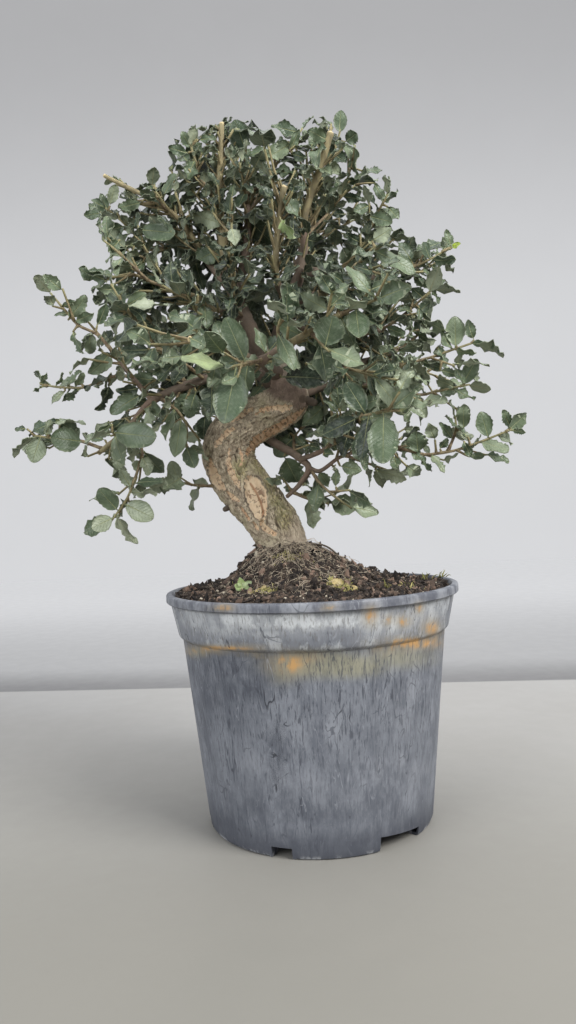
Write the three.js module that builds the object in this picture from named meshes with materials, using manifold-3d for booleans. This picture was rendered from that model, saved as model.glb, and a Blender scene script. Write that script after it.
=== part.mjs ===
// Cork oak bonsai in a weathered nursery pot, in millimetres, +Z up.
// The origin is the middle of the pot's underside. +X is to the right and -Y is the front.

import * as THREE from "three";
import { mergeVertices } from "three/addons/utils/BufferGeometryUtils.js";
import Module from "manifold-3d";

const wasm = await Module();
wasm.setup();

// Pot
const POT_HEIGHT = 177;
const RIM_RADIUS = 112.5;
const BASE_RADIUS = 86.5;
const LIP_HEIGHT = 6.5;
const LIP_OVERHANG = 3.2;
const COLLAR_HEIGHT = 31;
const COLLAR_TAPER = 5.2;
const COLLAR_STEP = 3;
const STEP_HEIGHT = 3;
const WALL = 1.8;
const FLOOR = 2;
const FOOT_ROUND = 3;
const POT_SIDES = 36;

// Drainage channels, pressed up into the floor and open at the foot of the wall
const CHANNELS = 6;
const FIRST_CHANNEL_DEG = -109;
const CHANNEL_START = 34;
const CHANNEL_WIDTH = 15;
const CHANNEL_HEIGHT = 8;
const BROKEN_CHANNEL = 1;
const BROKEN_WIDTH = 29;
const DRAIN_HOLE = 7;
const DRAIN_HOLE_RADIUS = BASE_RADIUS - 14;
const BITE_DEPTH = 20;
const BITE_HEIGHT = 6.5;

// Soil
const SOIL_EDGE = 174.5;
const SOIL_RISE = 10;
const SOIL_SLOPE_RADIUS = 95;
const MOUND_RISE = 30;
const MOUND_CENTRE = new THREE.Vector2(-21, 0);
const MOUND_SPREAD_LEFT = 36;
const MOUND_SPREAD_RIGHT = 60;
const MOUND_STEEPNESS_LEFT = 3;
const MOUND_STEEPNESS_RIGHT = 2;
const SOIL_LUMPS = 0.8;
const SOIL_SIDES = 28;
const SOIL_RINGS = [0, 0.1, 0.3, 0.55, 0.8, 1];

// Gaps between neighbouring pieces, and the thickness of a leaf
const GAP = 0.35;
const SOIL_GAP = 0.8;
const BLADE = 0.7;

// Trunk: x, y, z and radius of each station, from the foot in the soil to the fork
const TRUNK_SIDES = 15;
const TRUNK_STEPS = 18;
const STOUT_LIMB = 4.3;
const STOUT_LIMB_SIDES = 7;
const THIN_LIMB_SIDES = 5;
const TRUNK = [
  [-19, 0, 166, 22],
  [-20, 0, 190, 22],
  [-21, 0, 208, 19.5],
  [-24, 0, 219, 18.2],
  [-33, 2, 234, 19.5],
  [-45, 4, 251, 20],
  [-56, 6, 267, 20.3],
  [-60, 6, 283, 20.5],
  [-54, 4, 297, 19.5],
  [-38, 0, 308, 17.8],
  [-21, -4, 316, 16.5],
  [-11, -5, 324, 15.5],
  [-14, -3, 335, 12.6],
  [-21, 0, 349, 10.2],
  [-27, 2, 362, 9.4],
];

// Limbs and the pruned stubs: x, y, z and radius of each station, from the root outwards
const LIMBS = {
  leader_left: [[-27, 2, 358, 9], [-37, 2, 373, 8.4], [-43, 1, 387, 7.8], [-48, 0, 403, 7],
    [-54, 0, 427, 5.6], [-57, -2, 454, 4.4], [-58, -4, 480, 3.2], [-53, -8, 538, 2.1]],
  leader_right: [[-24, 0, 356, 8.6], [-15, 4, 379, 7.8], [-7, 6, 401, 7], [3, 6, 427, 6],
    [6, 2, 448, 5], [8, -4, 466, 4.2], [21, -12, 497, 3.8], [30, -18, 521, 3.5]],
  leader_middle: [[-47, 0, 400, 5], [-43, 6, 428, 4], [-38, 8, 456, 3.2], [-37, 4, 478, 2.4]],
  front_stub: [[-7, 2, 401, 4], [-15, -16, 409, 2.8], [-16, -24, 424, 2.5], [-7, -36, 475, 2.2]],
  left_stub: [[-49, 0, 405, 4.5], [-70, 2, 435, 3.6], [-94, -4, 471, 2.6], [-145, -14, 500, 2]],
  left_middle: [[-46, -2, 392, 4], [-57, -12, 391, 3], [-76, -18, 402, 2.4], [-100, -20, 410, 2]],
  left: [[-25, -4, 338, 7], [-34, -10, 343, 5.6], [-59, -14, 343, 5], [-85, -18, 336, 4.4],
    [-114, -22, 324, 3.8], [-134, -24, 303, 2.9], [-156, -26, 286, 2.2]],
  left_rising: [[-114, -22, 324, 2.8], [-129, -26, 344, 2.4], [-140, -30, 360, 2]],
  right: [[-8, -4, 325, 8], [5, 2, 329, 5], [19, 4, 333, 4.2], [45, 2, 331, 3.2], [65, -2, 331, 2.4]],
  right_middle: [[2, 6, 424, 4.2], [26, 14, 425, 3.2], [49, 10, 418, 2.6], [68, 2, 415, 2.1]],
  right_front: [[-5, 2, 401, 4.4], [15, -24, 397, 3.4], [30, -46, 398, 2.6]],
  right_lower: [[-12, 4, 385, 5], [15, 18, 380, 3.6], [40, 16, 374, 2.8], [64, 10, 376, 2.1]],
  low: [[-33, 4, 302, 7], [-27, 8, 293, 5], [-8, 4, 280, 4.2], [2, -2, 269, 3.6],
    [-5, -4, 257, 2.8], [-16, -4, 247, 2.2]],
  low_out: [[2, -2, 269, 3], [10, -4, 266, 2.6], [27, -6, 276, 2.3], [50, -8, 281, 2.1], [71, -10, 281, 1.9]],
  low_front: [[-3, 0, 276, 3], [16, -22, 282, 2.5], [23, -45, 290, 2.2], [31, -68, 294, 2]],
  front: [[-18, -4, 341, 6], [-25, -34, 344, 4.2], [-27, -70, 341, 3.4], [-26, -94, 337, 2.8]],
  front_right: [[-26, -92, 337, 2.6], [-13, -99, 343, 2.4], [9, -104, 353, 2.2], [26, -108, 361, 2]],
  front_left_stub: [[-27, -68, 341, 3], [-46, -92, 344, 2.6], [-70, -118, 348, 2.4]],
  back: [[-22, 4, 350, 6], [-18, 36, 372, 4], [-10, 68, 396, 3], [-4, 92, 418, 2.2]],
  back_left: [[-32, 2, 368, 5], [-62, 34, 384, 3.6], [-92, 62, 392, 2.6], [-112, 78, 398, 2]],
  back_right: [[-12, 0, 334, 6], [22, 38, 352, 4], [58, 62, 362, 3], [84, 76, 372, 2]],
  back_top: [[3, 6, 430, 4.4], [12, 36, 458, 3.2], [14, 60, 482, 2.2]],
  back_low: [[-32, 6, 312, 6], [-34, 44, 322, 3.6], [-44, 76, 326, 2.4]],
};

// Small knobs where shoots were pruned flush: x, y, z, direction and radius
const KNOBS = [
  [[-62, -2, 243], [-78, -6, 238], 3.4],
  [[0, -6, 322], [10, -10, 318], 3.2],
];

// Leafy sprays. The first path starts on a limb, and each further path forks from it.
const SPRAYS = {
  left_far: [[[-152, -25, 289], [-168, -27, 296], [-186, -30, 298], [-202, -33, 301]]],
  left_hang: [[[-132, -24, 305], [-120, -34, 285], [-126, -38, 266], [-133, -38, 250], [-146, -38, 234]]],
  left_oval: [[[-140, -25, 298], [-139, -50, 299]]],
  left_low: [[[-108, -21, 326], [-95, -28, 316], [-87, -30, 304], [-89, -30, 287]]],
  left_up: [[[-140, -30, 360], [-151, -32, 375], [-164, -34, 380], [-184, -35, 406]]],
  left_thin: [[[-128, -26, 343], [-145, -18, 345], [-169, -12, 338], [-189, -9, 340], [-198, -8, 342]]],
  left_front: [[[-74, -16, 339], [-84, -46, 346], [-100, -60, 354], [-121, -65, 382], [-131, -65, 401]]],
  left_inner: [[[-89, -18, 336], [-99, -12, 362], [-116, -5, 391], [-132, 0, 409]]],
  left_mid: [[[-100, -20, 410], [-113, -22, 415], [-125, -24, 421], [-139, -26, 418]],
    [[-113, -22, 415], [-131, -40, 432], [-141, -40, 441]]],
  left_rise: [[[-87, -19, 406], [-107, -10, 425], [-116, -8, 442], [-121, -12, 461]]],
  left_top: [[[-83, -1, 455], [-111, 14, 450], [-127, 16, 461], [-139, 14, 477], [-150, 12, 484]]],
  left_bud: [[[-98, -5, 474], [-105, -12, 478], [-108, -16, 490]]],
  top_left: [[[-58, -4, 484], [-72, -12, 493], [-74, -14, 508], [-77, -16, 518]]],
  top_middle: [[[-37, 4, 477], [-36, 2, 497], [-36, 0, 524]],
    [[-37, 4, 480], [-37, -22, 482], [-39, -34, 495]],
    [[-36, 3, 487], [-23, -4, 490], [-10, -8, 507], [9, -12, 528]]],
  top_far: [[[6, 1, 449], [28, 14, 473], [41, 18, 493], [49, 18, 515]]],
  top_high: [[[13, -7, 479], [27, 16, 506], [36, 22, 529], [40, 22, 542]]],
  top_back: [[[-38, 7, 464], [-29, 34, 502], [-24, 44, 531]]],
  centre_front: [[[-44, 0, 389], [-47, -44, 388], [-46, -62, 404], [-45, -66, 424], [-44, -68, 442]]],
  centre_low: [[[-45, -2, 396], [-62, -40, 380], [-72, -64, 378], [-76, -74, 388]]],
  front_left: [[[-26, -94, 337], [-36, -106, 333], [-47, -116, 329]]],
  front_mid: [[[-13, -99, 343], [-15, -110, 353], [-11, -118, 359]]],
  front_tip: [[[26, -108, 361], [37, -110, 365], [52, -112, 369]]],
  front_drop: [[[7, -103, 352], [14, -112, 341], [18, -116, 336]]],
  right_peak: [[[49, 10, 418], [54, 16, 440], [60, 16, 461], [71, 14, 479]]],
  right_front_out: [[[30, -46, 398], [41, -60, 406], [55, -68, 417]],
    [[41, -60, 406], [46, -72, 398], [59, -82, 400]]],
  right_bud: [[[68, 2, 415], [89, 0, 421], [108, -2, 428], [114, -3, 432]]],
  right_pair: [[[59, 6, 417], [79, 28, 417], [97, 32, 425], [116, 32, 435]]],
  right_rise: [[[64, 10, 376], [79, 8, 384], [93, 8, 395], [106, 8, 406]]],
  right_long: [[[58, -1, 331], [77, -10, 344], [98, -12, 348], [118, -12, 354], [132, -12, 358]]],
  right_flat: [[[65, -2, 331], [91, 0, 321], [110, 0, 325], [130, 0, 328]]],
  right_far: [[[71, -10, 281], [91, -13, 274], [113, -16, 276], [136, -18, 283], [153, -20, 289]],
    [[108, -15, 276], [116, -14, 292], [115, -14, 302]]],
  right_under: [[[31, -7, 277], [54, 10, 269], [72, 14, 262]]],
  right_drop: [[[4, -2, 267], [9, -14, 257], [20, -20, 246], [33, -22, 236]]],
  right_hook: [[[-12, -4, 251], [2, -2, 244], [18, 4, 241]]],
  low_front_end: [[[31, -68, 294], [39, -86, 298], [58, -98, 299]]],
  low_up: [[[-9, 4, 281], [-9, 14, 295], [0, 20, 305]]],
  right_cross: [[[22, 4, 333], [31, -50, 337], [50, -78, 325], [67, -86, 320]]],
  right_mid_front: [[[51, 1, 330], [68, -36, 320], [86, -50, 310]]],
  trunk_shoot: [[[-70, 2, 258], [-87, -2, 259], [-105, -4, 264]]],
  back_crest: [[[-4, 92, 418], [2, 112, 436], [10, 126, 452]]],
  back_west: [[[-10, 68, 396], [-24, 92, 404], [-34, 116, 398]]],
  back_east: [[[-12, 60, 390], [16, 84, 392], [34, 108, 386]]],
  back_mid: [[[-16, 44, 378], [-14, 72, 362], [-12, 104, 350]]],
  back_left_end: [[[-112, 78, 398], [-128, 86, 412], [-138, 88, 430]]],
  back_left_out: [[[-92, 62, 392], [-118, 66, 378], [-142, 68, 364]]],
  back_left_down: [[[-80, 52, 389], [-84, 84, 382], [-86, 112, 370]]],
  back_left_up: [[[-70, 42, 387], [-92, 52, 414], [-104, 58, 440]]],
  back_right_end: [[[84, 76, 372], [102, 84, 384], [116, 84, 400]]],
  back_right_down: [[[58, 62, 362], [62, 90, 350], [60, 114, 342]]],
  back_right_out: [[[68, 67, 366], [98, 58, 352], [124, 52, 340]]],
  back_right_up: [[[40, 50, 357], [62, 56, 384], [72, 60, 410]]],
  back_top_end: [[[14, 60, 482], [20, 76, 500], [20, 84, 518]]],
  back_top_east: [[[12, 36, 458], [38, 52, 474], [56, 62, 486]]],
  back_top_west: [[[10, 30, 452], [-18, 58, 462], [-36, 84, 470]]],
  back_low_end: [[[-44, 76, 326], [-50, 98, 322], [-58, 116, 312]]],
  back_low_left: [[[-36, 50, 323], [-66, 66, 316], [-92, 78, 308]]],
  back_shelf: [[[-70, 2, 435], [-84, 34, 456], [-98, 56, 474]]],
};

// Leaves placed one by one: spray, place along its first path, tip, width and the way the face looks
const PLACED_SHAPE = { fold: 0.12, curl: 0.05, wave: 0.04 };
const FRONT = [0, -1, 0.15];
const LEFT_FRONT = [-0.5, -0.8, 0.3];
const RIGHT_FRONT = [0.5, -0.8, 0.3];
const UP_FRONT = [0, -0.7, 0.7];
const PLACED_LEAVES = [
  ["left_oval", 0.9, [-106, -62, 293], 20, FRONT],
  ["left_far", 0.3, [-186, -42, 298], 19, FRONT],
  ["left_far", 0.9, [-204, -34, 281], 15, FRONT],
  ["left_hang", 0.8, [-113, -46, 236], 16, FRONT],
  ["left_hang", 0.95, [-159, -42, 230], 13, FRONT],
  ["left_hang", 0.88, [-152, -46, 258], 16, LEFT_FRONT],
  ["left_hang", 0.6, [-105, -42, 263], 10, UP_FRONT],
  ["left_low", 0.5, [-95, -44, 280], 13, FRONT],
  ["trunk_shoot", 0.85, [-105, -6, 279], 11, FRONT],
  ["front_left", 0.75, [-50, -122, 294], 22, FRONT],
  ["front_left", 0.95, [-74, -128, 336], 15, UP_FRONT],
  ["front_left", 0.5, [-47, -112, 362], 16, FRONT],
  ["centre_low", 0.7, [-84, -90, 352], 18, LEFT_FRONT],
  ["front_drop", 0.8, [21, -122, 357], 20, FRONT],
  ["front_tip", 0.4, [37, -122, 343], 15, FRONT],
  ["front_tip", 0.9, [32, -116, 390], 11, RIGHT_FRONT],
  ["front_mid", 0.5, [-4, -116, 326], 11, UP_FRONT],
  ["low_front_end", 0.85, [50, -104, 265], 21, FRONT],
  ["low_front_end", 0.6, [36, -96, 268], 13, LEFT_FRONT],
  ["low_front_end", 0.4, [12, -82, 287], 13, FRONT],
  ["low_front_end", 0.55, [29, -92, 320], 15, FRONT],
  ["right_cross", 0.8, [66, -92, 298], 12, FRONT],
  ["right_far", 0.74, [150, -31, 274], 15, RIGHT_FRONT],
  ["right_far", 0.82, [133, -22, 304], 13, FRONT],
  ["right_long", 0.82, [118, -16, 378], 15, FRONT],
  ["right_flat", 0.9, [136, -4, 347], 12, FRONT],
  ["right_front_out", 0.9, [84, -60, 401], 15, RIGHT_FRONT],
  ["right_bud", 0.75, [98, -8, 438], 12, RIGHT_FRONT],
  ["top_high", 0.95, [41, 20, 557], 11, FRONT],
  ["top_middle", 0.9, [-43, -8, 540], 16, FRONT],
  ["left_rise", 0.95, [-92, -18, 452], 16, FRONT],
  ["low_up", 0.5, [-25, 14, 281], 15, FRONT],
];

// Twigs
const TWIG_ROOT_RADIUS = 1.5;
const TWIG_TIP_RADIUS = 0.8;
const TWIG_SIDES = 3;

// The rule for side shoots: share of the stem that bears them, lengths, lean from the stem, and pulls
const SIDE_SHOOT = {
  every: 60,
  most: 2,
  radius: 1,
  from: 0.3,
  span: 0.55,
  length: [13, 25],
  lean: [0.75, 1.1],
  outwards: 0.35,
  upwards: 0.1,
};

// The rule for leaves: spacing along a stem, sizes, lean from the stem, bending and the way they face
const LEAF = {
  every: 6.5,
  modelEvery: 8,
  bareShare: 0.22,
  bareSideShoot: 4,
  endInset: 1.5,
  length: [13.5, 21.5],
  widthShare: [0.56, 0.7],
  lowestHeight: 300,
  highestHeight: 540,
  growthByHeight: [1.3, 0.95],
  lean: [0.85, 1.2],
  endLean: [0.45, 0.8],
  twist: [0, 1.2],
  outwards: 0.2,
  fold: [0.1, 0.4],
  curl: [0.04, 0.24],
  wave: [0.03, 0.08],
  faceOutwards: 0.7,
  faceTilt: 0.45,
  faceUpwards: 0.6,
  faceForwards: 0.25,
};

// Steps between the seeds of the sprays, of their paths and of what grows on a shoot
const SPRAY_SEED = 5000;
const PATH_SEED = 500;
const SIDE_SHOOT_SEED = 50;
const LEAF_SEED = 10;

// A leaf's root may touch its own twigs, and the rest of it stays clear of them
const ROOT_SHARE = 0.3;

const GOLDEN_ANGLE = 2.39996;
const FULL_TURN = 2 * Math.PI;
const TURNS = 6;
const CROWN_CENTRE = new THREE.Vector3(-22, 0, 392);

// A repeatable stream of numbers from 0 to 1
function randomStream(seed) {
  let state = Math.imul(seed + 1, 2654435761) >>> 0;
  return () => {
    state = (Math.imul(state, 1664525) + 1013904223) >>> 0;
    return state / 2 ** 32;
  };
}

function between([low, high], random) {
  return low + (high - low) * random();
}

function vector(point) {
  return new THREE.Vector3(point[0], point[1], point[2]);
}

// Solids

function toSolid(geometry) {
  const bare = geometry.clone();
  bare.deleteAttribute("normal");
  bare.deleteAttribute("uv");
  const merged = mergeVertices(bare, 1e-4);
  const mesh = new wasm.Mesh({
    numProp: 3,
    vertProperties: new Float32Array(merged.attributes.position.array),
    triVerts: new Uint32Array(merged.index.array),
  });
  return new wasm.Manifold(mesh);
}

function toGeometry(solid) {
  const mesh = solid.getMesh();
  const geometry = new THREE.BufferGeometry();
  geometry.setAttribute("position", new THREE.BufferAttribute(new Float32Array(mesh.vertProperties), 3));
  geometry.setIndex(new THREE.BufferAttribute(new Uint32Array(mesh.triVerts), 1));
  geometry.computeVertexNormals();
  return geometry;
}

function joined(solids) {
  return solids.reduce((whole, solid) => whole.add(solid));
}

function largestPart(solid) {
  const parts = solid.decompose();
  return parts.reduce((best, part) => (part.volume() > best.volume() ? part : best));
}

function placedBox(width, depth, height, x, y, z, turn) {
  const box = new THREE.BoxGeometry(width, depth, height);
  box.translate(x, y, z + height / 2);
  box.rotateZ(turn);
  return toSolid(box);
}

// A tapered tube through the stations, bent from an upright cylinder. The ends are closed by fans.
// A tube that is grown is thicker and longer by that much all round.
function tube(stations, sides, steps, grow = 0, relief = () => 1) {
  const geometry = new THREE.CylinderGeometry(1, 1, 1, sides, steps, true);
  const position = geometry.attributes.position;
  const frames = tubeFrames(stations, steps, grow);
  for (let i = 0; i < position.count; i += 1) {
    const step = Math.round((0.5 - position.getY(i)) * steps);
    const along = step / steps;
    const angle = Math.atan2(position.getZ(i), position.getX(i));
    const radius = radiusAt(stations, along) * relief(along, angle) + grow;
    const { centre, side, front } = frames[step];
    const point = centre.clone();
    point.addScaledVector(side, radius * Math.cos(angle));
    point.addScaledVector(front, radius * Math.sin(angle));
    position.setXYZ(i, point.x, point.y, point.z);
  }
  const indices = [...geometry.index.array];
  const last = steps * (sides + 1);
  for (let i = 1; i < sides - 1; i += 1) {
    indices.push(0, i, i + 1);
    indices.push(last, last + i + 1, last + i);
  }
  geometry.setIndex(indices);
  return toSolid(geometry);
}

function tubeFrames(stations, steps, grow) {
  const curve = new THREE.CatmullRomCurve3(stations.map(vector), false, "centripetal");
  const frames = [];
  let side = new THREE.Vector3(1, 0, 0);
  for (let step = 0; step <= steps; step += 1) {
    const along = step / steps;
    const axis = curve.getTangent(along);
    side = side.clone().addScaledVector(axis, -side.dot(axis));
    if (side.length() < 0.2) {
      side = new THREE.Vector3(0, 1, 0).addScaledVector(axis, -axis.y);
    }
    side.normalize();
    const front = new THREE.Vector3().crossVectors(axis, side);
    frames.push({ centre: curve.getPoint(along), axis, side, front });
  }
  frames[0].centre.addScaledVector(frames[0].axis, -grow);
  frames[steps].centre.addScaledVector(frames[steps].axis, grow);
  return frames;
}

function radiusAt(stations, along) {
  const place = along * (stations.length - 1);
  const index = Math.min(Math.floor(place), stations.length - 2);
  return THREE.MathUtils.lerp(stations[index][3], stations[index + 1][3], place - index);
}

// Pot

function potProfile() {
  const collarTop = POT_HEIGHT - LIP_HEIGHT;
  const collarBottom = POT_HEIGHT - COLLAR_HEIGHT;
  const wallTop = collarBottom - STEP_HEIGHT;
  const collarTopRadius = RIM_RADIUS - LIP_OVERHANG;
  const collarBottomRadius = collarTopRadius - COLLAR_TAPER;
  const wallTopRadius = collarBottomRadius - COLLAR_STEP;
  const outside = [
    [0, 0],
    [BASE_RADIUS - FOOT_ROUND, 0],
    [BASE_RADIUS, FOOT_ROUND],
    [wallTopRadius, wallTop],
    [collarBottomRadius, collarBottom],
    [collarTopRadius, collarTop],
    [RIM_RADIUS, collarTop],
    [RIM_RADIUS, POT_HEIGHT - 1],
    [RIM_RADIUS - 1.2, POT_HEIGHT],
  ];
  const inside = [
    [collarTopRadius - WALL, POT_HEIGHT],
    [collarBottomRadius - WALL, collarBottom + 1],
    [wallTopRadius - WALL, wallTop + 1],
    [BASE_RADIUS - WALL, FLOOR],
    [0, FLOOR],
  ];
  return { outside, inside };
}

function latheSolid(points, sides) {
  const profile = points.map(([radius, height]) => new THREE.Vector2(radius, height));
  const geometry = new THREE.LatheGeometry(profile, sides);
  geometry.rotateX(Math.PI / 2);
  return toSolid(geometry);
}

function channelTurns() {
  const turns = [];
  for (let i = 0; i < CHANNELS; i += 1) {
    turns.push(THREE.MathUtils.degToRad(FIRST_CHANNEL_DEG + (i * 360) / CHANNELS));
  }
  return turns;
}

function channelBox(turn, width, height, start, end) {
  return placedBox(end - start, width, height, (start + end) / 2, 0, 0, turn);
}

function channelCovers(grow) {
  const width = CHANNEL_WIDTH + 2 * (WALL + grow);
  const height = CHANNEL_HEIGHT + WALL + grow;
  const start = CHANNEL_START - WALL - grow;
  return joined(channelTurns().map((turn) => channelBox(turn, width, height, start, BASE_RADIUS)));
}

function makePot() {
  const { outside, inside } = potProfile();
  const envelope = latheSolid([...outside, [0, POT_HEIGHT]], POT_SIDES);
  const shell = latheSolid([...outside, ...inside], POT_SIDES);
  let pot = shell.add(channelCovers(0).intersect(envelope));
  for (const turn of channelTurns()) {
    pot = pot.subtract(channelBox(turn, CHANNEL_WIDTH, CHANNEL_HEIGHT, CHANNEL_START, RIM_RADIUS));
    pot = pot.subtract(placedBox(DRAIN_HOLE, DRAIN_HOLE, 2 * CHANNEL_HEIGHT, DRAIN_HOLE_RADIUS, 0, 0, turn));
  }
  const shift = (BROKEN_WIDTH - CHANNEL_WIDTH) / 2;
  const brokenTurn = channelTurns()[BROKEN_CHANNEL];
  const bite = placedBox(BITE_DEPTH, BROKEN_WIDTH, BITE_HEIGHT, BASE_RADIUS + 6, shift, 0, brokenTurn);
  return pot.subtract(bite);
}

// Soil

function soilHeight(x, y) {
  const dx = x - MOUND_CENTRE.x;
  const dy = y - MOUND_CENTRE.y;
  const distance = Math.hypot(dx, dy);
  const rightness = distance > 0 ? (1 + dx / distance) / 2 : 0.5;
  const spread = THREE.MathUtils.lerp(MOUND_SPREAD_LEFT, MOUND_SPREAD_RIGHT, rightness);
  const steepness = THREE.MathUtils.lerp(MOUND_STEEPNESS_LEFT, MOUND_STEEPNESS_RIGHT, rightness);
  const slope = SOIL_RISE * Math.max(0, 1 - distance / SOIL_SLOPE_RADIUS);
  const mound = MOUND_RISE * Math.exp(-((distance / spread) ** steepness));
  const lumps = SOIL_LUMPS * Math.sin(x / 7.3) * Math.cos(y / 8.9);
  return SOIL_EDGE + slope + mound + lumps;
}

// The soil's side, from the floor up: the inside of the pot less a gap that allows for its flat sides
function soilWall() {
  const [top, collar, step, floor] = potProfile().inside;
  const edgeHeight = SOIL_EDGE - 1;
  const edgeRadius = THREE.MathUtils.mapLinear(edgeHeight, collar[1], top[1], collar[0], top[0]);
  return [
    [floor[0] - SOIL_GAP, floor[1] + GAP],
    [step[0] - SOIL_GAP, step[1] + SOIL_GAP],
    [collar[0] - SOIL_GAP, collar[1] + SOIL_GAP],
    [edgeRadius - SOIL_GAP, edgeHeight],
  ];
}

function makeSoil(trunkFoot) {
  const wall = soilWall();
  const bottom = wall[0][1];
  const [edgeRadius, edgeHeight] = wall[wall.length - 1];
  const profile = [[0, bottom], ...wall];
  for (const ring of [...SOIL_RINGS].reverse().slice(1)) {
    profile.push([ring * edgeRadius, edgeHeight]);
  }
  const points = profile.map(([radius, height]) => new THREE.Vector2(radius, height));
  const geometry = new THREE.LatheGeometry(points, SOIL_SIDES);
  geometry.rotateX(Math.PI / 2);
  const position = geometry.attributes.position;
  for (let i = 0; i < position.count; i += 1) {
    const radius = Math.hypot(position.getX(i), position.getY(i));
    const onTop = position.getZ(i) > edgeHeight - 0.01;
    if (onTop) {
      const inwards = 1 - radius / edgeRadius;
      const x = position.getX(i) + MOUND_CENTRE.x * inwards;
      const y = position.getY(i) + MOUND_CENTRE.y * inwards;
      position.setXYZ(i, x, y, soilHeight(x, y));
    }
  }
  return toSolid(geometry).subtract(channelCovers(GAP)).subtract(trunkFoot);
}

// Trunk and limbs

// The cork stands up in ridges and plates, and is smooth near the soil and the fork
function corkRelief(along, angle) {
  const ridges = 0.035 * Math.sin(3 * angle + 9 * along) + 0.03 * Math.sin(5 * angle - 14 * along);
  const plates = 0.02 * Math.sin(38 * along + 2 * angle);
  const fadeIn = THREE.MathUtils.smoothstep(along, 0.1, 0.2);
  const fadeOut = 1 - THREE.MathUtils.smoothstep(along, 0.75, 0.85);
  return 1 + fadeIn * fadeOut * (ridges + plates);
}

function limbSides(stations) {
  return stations[1][3] > STOUT_LIMB ? STOUT_LIMB_SIDES : THIN_LIMB_SIDES;
}

function makeTree(grow) {
  const solids = [tube(TRUNK, TRUNK_SIDES, TRUNK_STEPS, grow, corkRelief)];
  for (const stations of Object.values(LIMBS)) {
    solids.push(tube(stations, limbSides(stations), stations.length - 1, grow));
  }
  for (const [start, end, radius] of KNOBS) {
    solids.push(tube([[...start, radius * 1.3], [...end, radius * 0.8]], STOUT_LIMB_SIDES, 1, grow));
  }
  return joined(solids);
}

// Leaves. A leaf is { base, axis, face, length, width, fold, curl, wave, phase }. Its half width
// at place u, from 0 at the root to 1 at the tip, is a share of its full half width.

const STALK_SHARE = 0.1;
const STALK_WIDTH = 0.06;
const BLADE_ROUNDNESS = 0.6;
const RIPPLES = 11;
const OTHER_SIDE_PHASE = 1.9;

function bladeProfile(u) {
  const s = THREE.MathUtils.clamp((u - STALK_SHARE) / (1 - STALK_SHARE), 0, 1);
  return THREE.MathUtils.lerp(STALK_WIDTH, 1, Math.sin(Math.PI * s) ** BLADE_ROUNDNESS);
}

function bladePoint(leaf, u, v, reach) {
  const side = new THREE.Vector3().crossVectors(leaf.face, leaf.axis);
  const half = reach * 0.5 * leaf.width * bladeProfile(u);
  const across = v * half;
  const phase = leaf.phase + (v < 0 ? OTHER_SIDE_PHASE : 0);
  const ripple = leaf.wave * v * v * Math.sin(RIPPLES * u + phase);
  const rise = leaf.fold * Math.abs(across) + ripple - leaf.curl * leaf.length * u * u;
  const point = leaf.base.clone();
  point.addScaledVector(leaf.axis, leaf.length * u);
  point.addScaledVector(side, across);
  point.addScaledVector(leaf.face, rise);
  return point;
}

// The leaf's waved outline: place along the blade, side and reach of each point, from the root
const OUTLINE = [
  [0, 0, 0],
  [0.27, 1, 1.14],
  [0.51, 1, 0.85],
  [0.76, 1, 1.16],
  [1, 0, 0],
  [0.63, -1, 1.1],
  [0.31, -1, 1.06],
];
const MIDRIB_POINT = [0.5, 0, 0];
const MIDRIB = 7;
const BLADE_TRIANGLES = [
  [0, 1, 6], [1, 2, MIDRIB], [2, 3, MIDRIB], [3, 4, MIDRIB],
  [4, 5, MIDRIB], [5, 6, MIDRIB], [6, 1, MIDRIB],
];

function bladeSolid(leaf, grow) {
  const grown = { ...leaf, width: leaf.width + 2 * grow, length: leaf.length + grow };
  const middle = [...OUTLINE, MIDRIB_POINT].map(([u, v, reach]) => bladePoint(grown, u, v, reach));
  const count = middle.length;
  const half = BLADE / 2 + grow;
  const upper = middle.map((point) => point.clone().addScaledVector(leaf.face, half));
  const lower = middle.map((point) => point.clone().addScaledVector(leaf.face, -half));
  const indices = [];
  for (const [a, b, c] of BLADE_TRIANGLES) {
    indices.push(b, a, c);
    indices.push(a + count, b + count, c + count);
  }
  for (let i = 0; i < OUTLINE.length; i += 1) {
    const next = (i + 1) % OUTLINE.length;
    indices.push(i, next, next + count);
    indices.push(i, next + count, i + count);
  }
  const geometry = new THREE.BufferGeometry().setFromPoints([...upper, ...lower]);
  geometry.setIndex(indices);
  return toSolid(geometry);
}

// The outer part of a leaf, beyond its root
function outerBlade(leaf) {
  const start = leaf.base.dot(leaf.axis) + ROOT_SHARE * leaf.length;
  return bladeSolid(leaf, GAP).trimByPlane(leaf.axis.toArray(), start);
}

function squareTo(axis, direction) {
  return direction.clone().addScaledVector(axis, -direction.dot(axis)).normalize();
}

// Shoots. A shoot is a list of points with a length, from its root to its tip.

function makeShoot(points, isMain, seed) {
  const lengths = [0];
  for (let i = 1; i < points.length; i += 1) {
    lengths.push(lengths[i - 1] + points[i].distanceTo(points[i - 1]));
  }
  return { points, lengths, length: lengths[lengths.length - 1], isMain, seed };
}

function shootPoint(shoot, distance) {
  const { points, lengths } = shoot;
  let index = 1;
  while (index < points.length - 1 && lengths[index] < distance) {
    index += 1;
  }
  const span = lengths[index] - lengths[index - 1];
  const part = (distance - lengths[index - 1]) / span;
  const point = points[index - 1].clone().lerp(points[index], part);
  const axis = points[index].clone().sub(points[index - 1]).normalize();
  return { point, axis };
}

function aroundAxis(axis, angle) {
  const reference = Math.abs(axis.z) < 0.9 ? new THREE.Vector3(0, 0, 1) : new THREE.Vector3(1, 0, 0);
  const first = squareTo(axis, reference);
  const second = new THREE.Vector3().crossVectors(axis, first);
  return first.multiplyScalar(Math.cos(angle)).addScaledVector(second, Math.sin(angle));
}

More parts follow.
